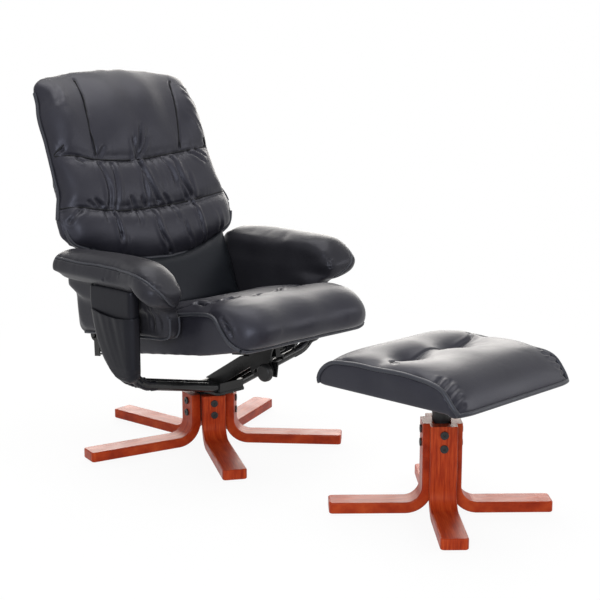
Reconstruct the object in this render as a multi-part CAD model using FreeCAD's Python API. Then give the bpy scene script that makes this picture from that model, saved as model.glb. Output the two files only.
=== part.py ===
"""Swivel recliner on a five-leg bent-wood base, with a matching four-leg footstool.

Millimetres, +Z up. The chair faces -Y, so the sitter's right hand is on the -X side. The origin is on
the floor, under the middle of the box that holds the chair and the stool together.
"""
import FreeCAD
import Part
import math
import os

V = FreeCAD.Vector

# Fits and clearances
RUNNING_FIT = 0.05
BOLT_CLEARANCE = 0.1
WELD_CLEARANCE = 0.15
SOFT_CLEARANCE = 0.4
SLIDE_CLEARANCE = 0.3
OPEN_PIVOT_CLEARANCE = 4.0

# Legs and hubs, shared by the chair and the stool
LEG_WIDTH = 62.0
LEG_THICKNESS = 26.0
LEG_BEND = 38.0
LEG_TIP_ROUND = 9.0
LEG_EDGE_ROUND = 3.5
LEG_SIDE_GAP = 0.6
GLIDE_HEIGHT = 3.0
GLIDE_RADIUS = 10.0
GLIDE_FROM_TIP = 25.0
BOLT_RADIUS = 4.0
BOLT_HEAD_RADIUS = 9.5
BOLT_HEAD_HEIGHT = 4.0
BOLT_SOCKET = 7.0
BOLT_SOCKET_DEPTH = 2.5
BOLT_DROP = 20.0
BOLT_PITCH = 32.0
BUSH_WALL = 3.0
HUB_FLOOR = 5.0
HUB_BELOW_LEGS = 3.0
WASHER_THICKNESS = 3.0
THRUST_GAP = 0.1

# Chair base
CHAIR_LEGS = 5
CHAIR_LEG_TOP = 141.0
CHAIR_LEG_REACH = 358.0
CHAIR_BASE_TURN = 93.8
CHAIR_SPINDLE_RADIUS = 25.0

# Swivel plate and spindle flange
FLANGE_RADIUS = 40.0
FLANGE_THICKNESS = 9.0
PLATE_THICKNESS = 6.0
PLATE_HALF_WIDTH = 50.0
PLATE_FRONT = 90.0
PLATE_REAR = 55.0
PLATE_CORNER = 12.0
PLATE_BOLT_CIRCLE = 30.0
PLATE_BOLT_RADIUS = 4.0
PLATE_BOLT_HEAD = 8.0
PLATE_BOLT_HEAD_HEIGHT = 4.0

# Arm frame: two cross tubes that rise to the sides, and four uprights
TUBE_RADIUS = 12.0
TUBE_WALL = 2.0
FRONT_TUBE_Y = -72.0
REAR_TUBE_Y = -30.0
TUBE_FLAT = 40.0
TUBE_RISE = 12.0
TUBE_KINK_RADIUS = 150.0
TUBE_BEND_RADIUS = 80.0
UPRIGHT_INSET = 16.0
FRONT_UPRIGHT_TOP_Y = -80.0
REAR_UPRIGHT_MID_Y = 34.0
REAR_UPRIGHT_MID_Z = 345.0
REAR_UPRIGHT_TOP_Y = 52.0
REAR_KNEE_RADIUS = 150.0
SADDLE_HALF_WIDTH = 42.0
SADDLE_HEIGHT = 25.0
SADDLE_MARGIN = 4.0

# Arms
ARM_BOARD_LOW = 470.0
ARM_BOARD_THICKNESS = 14.0
ARM_BOARD_INSET = 19.0
ARM_BOARD_WIDTH = 80.0
ARM_BOARD_FRONT = -116.0
ARM_BOARD_REAR = 184.0
ARM_PAD_INSET = 4.0
ARM_PAD_WIDTH = 113.0
ARM_PAD_HEIGHT = 64.0
ARM_PAD_REAR = 204.0
ARM_PAD_FRONT = -216.0
ARM_PAD_NOSE_LOW = 430.0
ARM_PANEL_THICKNESS = 42.0
ARM_PANEL_REAR = 212.0
ARM_PANEL_FRONT = -178.0
ARM_PANEL_LOW_REAR = 310.0
ARM_PANEL_LOW_FRONT = 341.0
ARM_PANEL_CORNER = 30.0
ARM_PANEL_ROUND = 11.0
SLEEVE_WALL = 2.0
SLEEVE_ROUND = 5.0
SLEEVE_LOW = 236.0
POCKET_DEPTH = 7.0
POCKET_WALL = 2.5
POCKET_SEAM = 7.0
POCKET_MOUTH = 402.0
POCKET_MOUTH_SAG = 8.0

# Recline geometry: the back turns on pins in the arm panels and draws the seat forwards
BACK_LEAN = 22.6
PIVOT_Y = 185.0
PIVOT_Z = 430.0
SEAT_LINK = 130.0
SEAT_SLOPE = 8.0
RECLINE = 25.0
PIVOT_PIN_RADIUS = 6.0
PIVOT_COLLAR_RADIUS = 11.0
PIVOT_COLLAR_LENGTH = 8.5
BACK_BRACKET_THICKNESS = 5.0
BACK_BRACKET_WIDTH = 32.0
BACK_BRACKET_TOP = 76.0
SEAT_PIN_RADIUS = 5.0
SEAT_BRACKET_THICKNESS = 3.0
SEAT_BRACKET_CLEARANCE = 1.5

# Seat
SEAT_HALF_WIDTH = 225.0
SEAT_BOTTOM_Z = 277.0
SEAT_REAR = 203.0
SEAT_REAR_HEIGHT = 70.0
SEAT_FRONT = -356.0
SEAT_CROWN = 30.0
SEAT_NOSE = 66.0
SEAT_BOARD_THICKNESS = 12.0
SEAT_SIDE_PADDING = 25.0
SEAT_BOARD_FRONT = 205.0
SEAT_BOARD_REAR = 190.0

# Seat rail, runner, support arm and lock
RAIL_HEAD_HALF = 20.0
RAIL_HEAD_HEIGHT = 9.0
RAIL_STEM_HALF = 8.0
RAIL_HEIGHT = 29.0
RAIL_FRONT = 262.0
RAIL_REAR = 95.0
RUNNER_WALL = 5.0
RUNNER_FRONT = 255.0
RUNNER_REAR = 115.0
ARM_CHANNEL_HALF = 22.0
ARM_CHANNEL_WALL = 4.0
ARM_CHANNEL_RISE = 31.0
ARM_CHANNEL_BACK = -8.0
ARM_CHANNEL_FOOT = -84.0
LUG_FRONT = -284.0
LUG_BACK = -238.0
LUG_LOW = 229.0
KNOB_ROD_Y = -262.0
KNOB_ROD_Z = 243.0
KNOB_ROD_RADIUS = 4.0
LOCK_PLATE_THICKNESS = 4.0
LOCK_PLATE_MARGIN = 14.0
LOCK_PLATE_FLANGE = 18.0
KNOB_RADIUS = 23.0
KNOB_THICKNESS = 20.0
KNOB_BOSS_RADIUS = 10.0
KNOB_BOSS_LENGTH = 6.0
KNOB_ROUND = 7.0

# Back, measured along the lean (up) and across it (forwards) from the pivot
BACK_BOARD_THICKNESS = 12.0
BACK_BOARD_FRONT = -4.0
BACK_TOP = 613.0
BACK_OVERHANG = 63.0
BACK_EDGE = 14.0
BACK_BAND_CROWN = 72.0
BACK_SEAM_HEIGHT = 52.0
BACK_HEAD_CROWN = 84.0
HEAD_SEAM_X = 150.0
HEAD_SEAM_DIP = 9.0
HEAD_SIDE_ROLL = 52.0
BACK_COVER_DEPTH = 26.0
BACK_COVER_RIM = 3.0
BACK_COVER_INSET = 24.0
BACK_COVER_SIDE = 12.0
BACK_COVER_SPLIT = 108.0
LUMBAR_LOW = -97.0
LUMBAR_CROWN = 52.0
LUMBAR_INSET = 1.0

# Stool
STOOL_DISTANCE = 792.0
STOOL_LEG_TOP = 217.0
STOOL_LEG_REACH = 258.0
STOOL_BASE_TURN = 45.4
STOOL_TOP_SHIFT = -8.0
STOOL_LENGTH = 416.0
STOOL_HALF_WIDTH = 210.0
STOOL_BOTTOM = 302.0
STOOL_SIDE_HEIGHT = 66.0
STOOL_CROWN = 26.0
STOOL_SEAM_Y = 36.0
STOOL_SEAM_DIP = 20.0
STOOL_TUFT_X = 76.0
STOOL_TUFT_DIP = 36.0
STOOL_BOARD_HALF = 165.0
STOOL_BOARD_THICKNESS = 12.0
STOOL_PLATE_HALF = 85.0
STOOL_PLATE_THICKNESS = 5.0
STOOL_SPINDLE_RADIUS = 13.0
STOOL_HUB_HALF = 19.5
STOOL_COLUMN_RADIUS = 22.0
STOOL_SCREW_RADIUS = 3.0
STOOL_SCREW_INSET = 15.0

# Outlines of the back cushion's lower and upper edges: (share of the half width, height above the pivot)
SMILE = [(0, 42), (0.285, 49), (0.52, 66), (0.7, 85), (0.844, 103), (0.93, 119), (0.976, 136), (1, 160)]
HEAD = [(0, 613), (0.285, 611), (0.52, 603), (0.7, 596), (0.844, 582), (0.924, 542), (0.951, 400),
        (0.976, 235), (1, 190)]

# Places that follow from the sizes above
SEAT_BOARD_HALF_WIDTH = SEAT_HALF_WIDTH - SEAT_SIDE_PADDING
LUMBAR_HALF_WIDTH = SEAT_HALF_WIDTH - LUMBAR_INSET
BACK_HALF_WIDTH = SEAT_HALF_WIDTH + BACK_OVERHANG
BACK_INNER_HALF_WIDTH = SEAT_HALF_WIDTH + SEAT_BRACKET_THICKNESS + SEAT_BRACKET_CLEARANCE
ARM_PANEL_INNER_X = BACK_INNER_HALF_WIDTH + BACK_BRACKET_THICKNESS + PIVOT_COLLAR_LENGTH
ARM_PANEL_OUTER_X = ARM_PANEL_INNER_X + ARM_PANEL_THICKNESS
ARM_PAD_INNER_X = ARM_PANEL_INNER_X + ARM_PAD_INSET
ARM_BOARD_INNER_X = ARM_PANEL_INNER_X + ARM_BOARD_INSET
ARM_BOARD_OUTER_X = ARM_BOARD_INNER_X + ARM_BOARD_WIDTH
UPRIGHT_X = ARM_BOARD_OUTER_X - UPRIGHT_INSET
TAN_RISE = math.tan(math.radians(TUBE_RISE))
PLATE_LOW = CHAIR_LEG_TOP + THRUST_GAP + FLANGE_THICKNESS
PLATE_TOP = PLATE_LOW + PLATE_THICKNESS
TUBE_FLAT_Z = PLATE_TOP + TUBE_RADIUS
CORNER_Z = TUBE_FLAT_Z + (UPRIGHT_X - TUBE_FLAT) * TAN_RISE
CROSS_END_X = UPRIGHT_X - TUBE_BEND_RADIUS
CROSS_END_Z = CORNER_Z - TUBE_BEND_RADIUS * TAN_RISE
SLEEVE_OUTER_X = UPRIGHT_X + TUBE_RADIUS + SLEEVE_WALL
SLEEVE_INNER_X = UPRIGHT_X - TUBE_RADIUS - SLEEVE_WALL
SLEEVE_TOP = ARM_BOARD_LOW - SOFT_CLEARANCE
ARM_PAD_LOW = ARM_BOARD_LOW + ARM_BOARD_THICKNESS
BOLT_GRIP_GAP = 0.5
LINK_REST_ANGLE = RECLINE / 2 - SEAT_SLOPE
SEAT_PIN_Y = PIVOT_Y + SEAT_LINK * math.sin(math.radians(LINK_REST_ANGLE))
SEAT_PIN_Z = PIVOT_Z - SEAT_LINK * math.cos(math.radians(LINK_REST_ANGLE))
SEAT_TRAVEL = 2 * SEAT_LINK * math.sin(math.radians(RECLINE / 2))
BACK_BOARD_REAR = BACK_BOARD_FRONT - BACK_BOARD_THICKNESS
LEAN_SIN = math.sin(math.radians(BACK_LEAN))
LEAN_COS = math.cos(math.radians(BACK_LEAN))
BACK_REACH = PIVOT_Y + 0.95 * BACK_TOP * LEAN_SIN - (BACK_BOARD_REAR - BACK_COVER_DEPTH) * LEAN_COS
STOOL_REACH = STOOL_DISTANCE - STOOL_TOP_SHIFT + STOOL_LENGTH / 2
CHAIR_AXIS_Y = (STOOL_REACH - BACK_REACH) / 2
STOOL_AXIS_Y = CHAIR_AXIS_Y - STOOL_DISTANCE


def box(x0, x1, y0, y1, z0, z1):
    return Part.makeBox(x1 - x0, y1 - y0, z1 - z0, V(x0, y0, z0))


def rod(radius, start, end):
    return Part.makeCylinder(radius, (end - start).Length, start, end - start)


def profile_wire(x, outline):
    """Closed wire in the plane X = x. Each point is (y, z, bulge), anticlockwise seen from +X, and the
    bulge is how far the run to the next point swells outwards (0 for a straight run)."""
    edges = []
    for (y0, z0, bulge), (y1, z1, _) in zip(outline, outline[1:] + outline[:1]):
        start, end = V(x, y0, z0), V(x, y1, z1)
        if bulge == 0:
            edges.append(Part.LineSegment(start, end).toShape())
        else:
            run = end - start
            outwards = V(0, run.z, -run.y).normalize()
            edges.append(Part.Arc(start, (start + end) * 0.5 + outwards * bulge, end).toShape())
    return Part.Wire(edges)


def slab(outline, x0, x1):
    return Part.Face(profile_wire(x0, outline)).extrude(V(x1 - x0, 0, 0))


def soft_slab(outline, x0, x1, edge):
    """Slab whose two faces are drawn in by about `edge` towards their rims."""
    ys, zs = [point[0] for point in outline], [point[1] for point in outline]
    mid_y, mid_z = (min(ys) + max(ys)) / 2, (min(zs) + max(zs)) / 2
    part_y, part_z = 1 - 2 * edge / (max(ys) - min(ys)), 1 - 2 * edge / (max(zs) - min(zs))
    small = [(mid_y + (y - mid_y) * part_y, mid_z + (z - mid_z) * part_z, bulge * part_y)
             for y, z, bulge in outline]
    stations = [(x0, small), (x0 + edge, outline), (x1 - edge, outline), (x1, small)]
    return Part.makeLoft([profile_wire(x, wire) for x, wire in stations], True, True)


def padded_loft(sections):
    """Soft solid through (x, outline) sections of equal runs."""
    return Part.makeLoft([profile_wire(x, outline) for x, outline in sections], True, False)


def mirrored(sections):
    """Sections from the middle outwards, completed by their mirror images in X = 0."""
    return [(-x, outline) for x, outline in reversed(sections) if x > 0] + sections


def bent_path(points, radii):
    """Straight runs joined by tangent arcs, one radius for each inner point."""
    edges = []
    start = points[0]
    for before, corner, after, radius in zip(points, points[1:], points[2:], radii):
        arrive = (corner - before).normalize()
        leave = (after - corner).normalize()
        half = arrive.getAngle(leave) / 2
        reach = radius * math.tan(half)
        first, last = corner - arrive * reach, corner + leave * reach
        inwards = (leave - arrive).normalize()
        middle = corner + inwards * (radius / math.cos(half) - radius)
        edges.append(Part.LineSegment(start, first).toShape())
        edges.append(Part.Arc(first, middle, last).toShape())
        start = last
    edges.append(Part.LineSegment(start, points[-1]).toShape())
    return Part.Wire(edges)


def swept(path, radius):
    first = path.OrderedEdges[0]
    ring = Part.Wire(Part.makeCircle(radius, first.valueAt(first.FirstParameter), first.tangentAt(0)))
    return path.makePipeShell([ring], True, False)


def tube(points, radii):
    path = bent_path(points, radii)
    return swept(path, TUBE_RADIUS).cut(swept(path, TUBE_RADIUS - TUBE_WALL))


def tube_core(points, radii, clearance):
    return swept(bent_path(points, radii), TUBE_RADIUS + clearance)


def turned(shape, angle):
    copy = shape.copy()
    copy.rotate(V(0, 0, 0), V(0, 0, 1), angle)
    return copy


def flipped(shape):
    """Mirror image in the plane X = 0."""
    return shape.mirror(V(0, 0, 0), V(1, 0, 0))


def sloped(shape):
    """Lays a shape, drawn level with Z = 0 at the seat's underside, along the seat's slope."""
    copy = shape.copy()
    copy.translate(V(0, 0, SEAT_BOTTOM_Z))
    copy.rotate(V(0, 0, SEAT_BOTTOM_Z), V(1, 0, 0), -SEAT_SLOPE)
    return copy


def seat_low(y):
    """Height of the seat's underside plane at y."""
    return SEAT_BOTTOM_Z - y * math.tan(math.radians(SEAT_SLOPE))


def back_point(up, forward):
    """(y, z) of a point measured along the lean and across it from the pivot."""
    return PIVOT_Y + up * LEAN_SIN - forward * LEAN_COS, PIVOT_Z + up * LEAN_COS + forward * LEAN_SIN


def back_outline(points):
    return [(*back_point(up, forward), bulge) for up, forward, bulge in points]


def hub_apothem(legs):
    """Distance from the axis at which legs of this width just clear each other."""
    return (LEG_WIDTH / 2 + LEG_SIDE_GAP) / math.tan(math.pi / legs)


def bolt_heights(top):
    return top - BOLT_DROP, top - BOLT_DROP - BOLT_PITCH


def bent_leg(inner, top, reach):
    """One leg pointing along +X: an upright against the hub at `inner`, a bend and a foot."""
    outer = inner + LEG_THICKNESS
    foot_low, foot_top = GLIDE_HEIGHT, GLIDE_HEIGHT + LEG_THICKNESS
    bend_x, bend_z = outer + LEG_BEND, foot_top + LEG_BEND
    diagonal = math.sqrt(0.5)
    edges = []

    def run(*points):
        ends = [V(x, -LEG_WIDTH / 2, z) for x, z in points]
        curve = Part.Arc(*ends) if len(ends) == 3 else Part.LineSegment(*ends)
        edges.append(curve.toShape())

    big, small = LEG_BEND + LEG_THICKNESS, LEG_BEND
    run((inner, top), (inner, bend_z))
    run((inner, bend_z), (bend_x - big * diagonal, bend_z - big * diagonal), (bend_x, foot_low))
    run((bend_x, foot_low), (reach, foot_low))
    run((reach, foot_low), (reach, foot_top))
    run((reach, foot_top), (bend_x, foot_top))
    run((bend_x, foot_top), (bend_x - small * diagonal, bend_z - small * diagonal), (outer, bend_z))
    run((outer, bend_z), (outer, top))
    run((outer, top), (inner, top))
    leg = Part.Face(Part.Wire(edges)).extrude(V(0, LEG_WIDTH, 0))
    tips = [e for e in leg.Edges if e.BoundBox.XMin > reach - 1 and e.BoundBox.ZLength > 1]
    leg = leg.makeFillet(LEG_TIP_ROUND, tips)
    rounded = [e for e in leg.Edges if e.BoundBox.YLength < LEG_WIDTH - LEG_TIP_ROUND]
    rounded = [e for e in rounded if not (e.BoundBox.XMin > bend_x and e.BoundBox.ZLength > 1)]
    rounded += [e for e in leg.Edges if e.BoundBox.XMin > reach - 1 and e.BoundBox.YLength > LEG_WIDTH / 2]
    rounded = [e for e in rounded if e.BoundBox.XMin > inner + 1]
    leg = leg.makeFillet(LEG_EDGE_ROUND, rounded)
    for height in bolt_heights(top):
        leg = leg.cut(rod(BOLT_RADIUS + BOLT_CLEARANCE, V(0, 0, height), V(outer + 1, 0, height)))
    return leg


def leg_bolt(inner, bore, height):
    """Socket-head bolt through a leg that points along +X, into the hub."""
    outer = inner + LEG_THICKNESS
    end = bore + BOLT_GRIP_GAP
    head = rod(BOLT_HEAD_RADIUS, V(outer, 0, height), V(outer + BOLT_HEAD_HEIGHT, 0, height))
    head = head.makeFillet(BOLT_HEAD_HEIGHT / 3, [e for e in head.Edges if e.BoundBox.XMin > outer + 1])
    bolt = head.fuse(rod(BOLT_RADIUS, V(end, 0, height), V(outer, 0, height)))
    corners = [V(0, math.cos(math.radians(60 * i)), math.sin(math.radians(60 * i))) for i in range(7)]
    top = V(outer + BOLT_HEAD_HEIGHT, 0, height)
    hexagon = Part.makePolygon([top + corner * (BOLT_SOCKET / 2) for corner in corners])
    return bolt.cut(Part.Face(hexagon).extrude(V(-BOLT_SOCKET_DEPTH, 0, 0)))


def hub_block(distances, bore, top):
    """Block with a flat at each leg's distance, the first flat facing +X, bored for the spindle's bush."""
    count = len(distances)
    low, high = GLIDE_HEIGHT + LEG_THICKNESS + LEG_BEND, top - HUB_BELOW_LEGS
    step = 2 * math.pi / count
    corners = []
    for i in range(count):
        first, second = distances[i], distances[(i + 1) % count]
        side = (second - first * math.cos(step)) / math.sin(step)
        angle = step * i
        corners.append(V(first * math.cos(angle) - side * math.sin(angle),
                         first * math.sin(angle) + side * math.cos(angle), low))
    block = Part.Face(Part.makePolygon(corners + corners[:1])).extrude(V(0, 0, high - low))
    block = block.cut(rod(bore, V(0, 0, low + HUB_FLOOR), V(0, 0, high)))
    for i, distance in enumerate(distances):
        for height in bolt_heights(top):
            hole = rod(BOLT_RADIUS + BOLT_CLEARANCE, V(0, 0, height), V(distance + 1, 0, height))
            block = block.cut(turned(hole, 360 / count * i))
    return block


def ring(inner, outer, low, high):
    return rod(outer, V(0, 0, low), V(0, 0, high)).cut(rod(inner, V(0, 0, low), V(0, 0, high)))


def pedestal(name, distances, spindle, top, reach, turn):
    """Nodes of one star base, about its own axis, with its legs at the given distances from it."""
    hub_low, hub_high = GLIDE_HEIGHT + LEG_THICKNESS + LEG_BEND, top - HUB_BELOW_LEGS
    bore, bush_outer = spindle + RUNNING_FIT, spindle + BUSH_WALL
    angles = [turn + 360 / len(distances) * i for i in range(len(distances))]
    glide = rod(GLIDE_RADIUS, V(reach - GLIDE_FROM_TIP, 0, 0), V(reach - GLIDE_FROM_TIP, 0, GLIDE_HEIGHT))
    nodes = {f"{name}_hub": turned(hub_block(distances, bush_outer, top), turn)}
    bolts = []
    for i, (distance, angle) in enumerate(zip(distances, angles), 1):
        nodes[f"{name}_leg_{i}"] = turned(bent_leg(distance, top, reach), angle)
        bolts += [turned(leg_bolt(distance, bush_outer, height), angle) for height in bolt_heights(top)]
    nodes[f"{name}_leg_bolts"] = Part.makeCompound(bolts)
    nodes[f"{name}_foot_glides"] = Part.makeCompound([turned(glide, angle) for angle in angles])
    bush = ring(bore, bush_outer, hub_low + HUB_FLOOR, hub_high)
    flange = ring(bore, min(distances) - 1, hub_high, hub_high + WASHER_THICKNESS)
    nodes[f"{name}_flanged_bush"] = bush.fuse(flange).removeSplitter()
    return nodes


def hex_screw(radius, head, head_height, top, length):
    """Hexagon-head screw standing on the level `top`, with its shank below."""
    corners = [V(math.cos(math.radians(60 * i)), math.sin(math.radians(60 * i)), 0) for i in range(7)]
    outline = Part.makePolygon([V(0, 0, top) + corner * head for corner in corners])
    shank = rod(radius, V(0, 0, top - length), V(0, 0, top))
    return Part.Face(outline).extrude(V(0, 0, head_height)).fuse(shank)


def moved(shape, x, y, z=0):
    copy = shape.copy()
    copy.translate(V(x, y, z))
    return copy


def countersunk_screw(radius, head, low):
    """Screw with its head flush with the top of the swivel plate."""
    neck = PLATE_TOP - PLATE_BOLT_HEAD_HEIGHT
    cone = Part.makeCone(radius, head, PLATE_BOLT_HEAD_HEIGHT, V(0, 0, neck))
    return rod(radius, V(0, 0, low), V(0, 0, neck)).fuse(cone)


def swivel_parts():
    """Spindle, plate and plate bolts."""
    spindle_low = GLIDE_HEIGHT + LEG_THICKNESS + LEG_BEND + HUB_FLOOR + THRUST_GAP
    flange_low = CHAIR_LEG_TOP + THRUST_GAP
    places = [(x, y) for x in (-1, 1) for y in (-1, 1)]
    reach = PLATE_BOLT_CIRCLE * math.sqrt(0.5)
    spindle = rod(CHAIR_SPINDLE_RADIUS, V(0, 0, spindle_low), V(0, 0, flange_low))
    spindle = spindle.fuse(rod(FLANGE_RADIUS, V(0, 0, flange_low), V(0, 0, PLATE_LOW)))
    plate = box(-PLATE_HALF_WIDTH, PLATE_HALF_WIDTH, -PLATE_FRONT, PLATE_REAR, PLATE_LOW, PLATE_TOP)
    plate = plate.makeFillet(PLATE_CORNER, [e for e in plate.Edges if e.BoundBox.ZLength > 1])
    screw = countersunk_screw(PLATE_BOLT_RADIUS, PLATE_BOLT_HEAD, flange_low)
    hole = countersunk_screw(PLATE_BOLT_RADIUS + BOLT_CLEARANCE, PLATE_BOLT_HEAD + BOLT_CLEARANCE,
                             flange_low)
    for x, y in places:
        spindle = spindle.cut(moved(hole, x * reach, y * reach))
        plate = plate.cut(moved(hole, x * reach, y * reach))
    screws = [moved(screw, x * reach, y * reach) for x, y in places]
    return {"chair_spindle": spindle, "swivel_plate": plate,
            "swivel_plate_bolts": Part.makeCompound(screws)}


def cross_points(y):
    return [V(-CROSS_END_X, y, CROSS_END_Z), V(-TUBE_FLAT, y, TUBE_FLAT_Z),
            V(TUBE_FLAT, y, TUBE_FLAT_Z), V(CROSS_END_X, y, CROSS_END_Z)]


def front_upright_points():
    return [V(CROSS_END_X, FRONT_TUBE_Y, CROSS_END_Z), V(UPRIGHT_X, FRONT_TUBE_Y, CORNER_Z),
            V(UPRIGHT_X, FRONT_UPRIGHT_TOP_Y, ARM_BOARD_LOW)]


def rear_upright_points():
    return [V(CROSS_END_X, REAR_TUBE_Y, CROSS_END_Z), V(UPRIGHT_X, REAR_TUBE_Y, CORNER_Z),
            V(UPRIGHT_X, REAR_UPRIGHT_MID_Y, REAR_UPRIGHT_MID_Z),
            V(UPRIGHT_X, REAR_UPRIGHT_TOP_Y, ARM_BOARD_LOW)]


UPRIGHT_BEND = TUBE_BEND_RADIUS * 0.9
CROSS_RADII = [TUBE_KINK_RADIUS, TUBE_KINK_RADIUS]
FRONT_RADII = [UPRIGHT_BEND]
REAR_RADII = [UPRIGHT_BEND, REAR_KNEE_RADIUS]


def arm_frame_parts():
    """Saddle, cross tubes and uprights of the arm frame."""
    level = box(-UPRIGHT_X, UPRIGHT_X, FRONT_TUBE_Y * 2, -FRONT_TUBE_Y * 2, 0, ARM_BOARD_LOW)
    front = tube(front_upright_points(), FRONT_RADII).common(moved(level, UPRIGHT_X, 0))
    rear = tube(rear_upright_points(), REAR_RADII).common(moved(level, UPRIGHT_X, 0))
    saddle = box(-SADDLE_HALF_WIDTH, SADDLE_HALF_WIDTH, FRONT_TUBE_Y - TUBE_RADIUS - SADDLE_MARGIN,
                 REAR_TUBE_Y + TUBE_RADIUS - SADDLE_MARGIN, PLATE_TOP, PLATE_TOP + SADDLE_HEIGHT)
    for y in (FRONT_TUBE_Y, REAR_TUBE_Y):
        saddle = saddle.cut(tube_core(cross_points(y), CROSS_RADII, WELD_CLEARANCE))
    return {"tube_saddle": saddle,
            "front_cross_tube": tube(cross_points(FRONT_TUBE_Y), CROSS_RADII),
            "rear_cross_tube": tube(cross_points(REAR_TUBE_Y), CROSS_RADII),
            "front_upright_left": front, "front_upright_right": flipped(front),
            "rear_upright_left": rear, "rear_upright_right": flipped(rear)}


def arm_pad():
    """Left arm pad: a D-shaped bolster whose nose rolls down in front of the arm panel."""
    low, top = ARM_PAD_LOW, ARM_PAD_LOW + ARM_PAD_HEIGHT

    def section(across, drop, pull, nose_low):
        front, high = ARM_PAD_FRONT + pull, top - drop
        return (ARM_PAD_INNER_X + across * ARM_PAD_WIDTH,
                [(ARM_BOARD_FRONT - 6, low, 0), (ARM_PAD_REAR - pull * 0.2, low, 3),
                 (ARM_PAD_REAR - 2 - pull * 0.2, high - 5, 4), (front + 62, high - 4, 10),
                 (front, low - 6, 9), (front + 26, nose_low, 2)])

    return padded_loft([section(0, 34, 20, ARM_PAD_NOSE_LOW + 14), section(0.18, 7, 3, ARM_PAD_NOSE_LOW),
                        section(0.45, 0, 0, ARM_PAD_NOSE_LOW), section(0.72, 4, 2, ARM_PAD_NOSE_LOW + 8),
                        section(0.9, 14, 12, ARM_PAD_NOSE_LOW + 20),
                        section(1, 32, 36, ARM_PAD_NOSE_LOW + 36)])


def arm_panel():
    """Left padded panel beside the seat, bored for the back's pivot pin."""
    high = ARM_BOARD_LOW - SOFT_CLEARANCE
    corner = ARM_PANEL_CORNER
    outline = [(ARM_PANEL_FRONT + corner, ARM_PANEL_LOW_FRONT, 0),
               (ARM_PANEL_REAR - corner, ARM_PANEL_LOW_REAR, corner * 0.29),
               (ARM_PANEL_REAR, ARM_PANEL_LOW_REAR + corner, 0), (ARM_PANEL_REAR, high, 0),
               (ARM_BOARD_FRONT, high, 0), (ARM_PANEL_FRONT + 8, ARM_PAD_NOSE_LOW - 12, 0),
               (ARM_PANEL_FRONT, ARM_PAD_NOSE_LOW - 24, 0),
               (ARM_PANEL_FRONT, ARM_PANEL_LOW_FRONT + corner, corner * 0.29)]
    panel = slab(outline, ARM_PANEL_INNER_X, ARM_PANEL_OUTER_X)
    flat = ARM_PANEL_OUTER_X - ARM_PANEL_INNER_X - 1
    panel = panel.makeFillet(ARM_PANEL_ROUND, [e for e in panel.Edges if e.BoundBox.XLength < flat])
    return panel.cut(rod(PIVOT_PIN_RADIUS + BOLT_CLEARANCE, V(ARM_PANEL_INNER_X - 1, PIVOT_Y, PIVOT_Z),
                         V(ARM_PANEL_OUTER_X + 1, PIVOT_Y, PIVOT_Z)))


def sleeve_outline():
    front, rear = FRONT_UPRIGHT_TOP_Y - TUBE_RADIUS - 4, REAR_UPRIGHT_TOP_Y + TUBE_RADIUS + 4
    return [(front + 24, SLEEVE_LOW, 0), (REAR_TUBE_Y - 4, SLEEVE_LOW + 4, 12),
            (REAR_UPRIGHT_MID_Y + TUBE_RADIUS, REAR_UPRIGHT_MID_Z - 8, 7), (rear, SLEEVE_TOP, 0),
            (front, SLEEVE_TOP, 0), (front, SLEEVE_LOW + 28, 8)]


def arm_sleeve():
    """Left upholstered sleeve round the two uprights."""
    sleeve = soft_slab(sleeve_outline(), SLEEVE_INNER_X, SLEEVE_OUTER_X, SLEEVE_ROUND)
    sleeve = sleeve.cut(tube_core(front_upright_points(), FRONT_RADII, SOFT_CLEARANCE))
    return sleeve.cut(tube_core(rear_upright_points(), REAR_RADII, SOFT_CLEARANCE))


def side_pocket():
    """Open-topped pocket on the outer face of the right sleeve."""
    outline = sleeve_outline()
    front = outline[5][0] + SLEEVE_ROUND
    rear_low, rear_mid = outline[1], outline[2]
    mouth_rear = rear_mid[0] + 12
    shell = [(front + 20, SLEEVE_LOW + 8, 0), (rear_low[0], SLEEVE_LOW + 10, 9),
             (rear_mid[0] - 8, rear_mid[1], 3), (mouth_rear, POCKET_MOUTH, -POCKET_MOUTH_SAG),
             (front, POCKET_MOUTH, 0), (front, SLEEVE_LOW + 30, 7)]
    seam = POCKET_SEAM
    inside = [(front + 20 + seam, SLEEVE_LOW + 8 + seam, 0), (rear_low[0], SLEEVE_LOW + 12 + seam, 7),
              (rear_mid[0] - 10 - seam, rear_mid[1], 2), (mouth_rear - seam, POCKET_MOUTH, 0),
              (mouth_rear - seam, POCKET_MOUTH + 1, 0), (front + seam, POCKET_MOUTH + 1, 0),
              (front + seam, SLEEVE_LOW + 30 + seam, 6)]
    face = -SLEEVE_OUTER_X - SOFT_CLEARANCE
    return slab(shell, face - POCKET_DEPTH - POCKET_WALL, face).cut(slab(inside, face - POCKET_DEPTH, face))


def pivot_pin():
    """Left pin that carries the back, held in the arm panel."""
    collar = ARM_PANEL_INNER_X - PIVOT_COLLAR_LENGTH + SLIDE_CLEARANCE
    pin = rod(PIVOT_PIN_RADIUS, V(BACK_INNER_HALF_WIDTH + 1, PIVOT_Y, PIVOT_Z),
              V(ARM_PANEL_OUTER_X - 1, PIVOT_Y, PIVOT_Z))
    return pin.fuse(rod(PIVOT_COLLAR_RADIUS, V(collar, PIVOT_Y, PIVOT_Z),
                        V(ARM_PANEL_INNER_X, PIVOT_Y, PIVOT_Z)))


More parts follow.
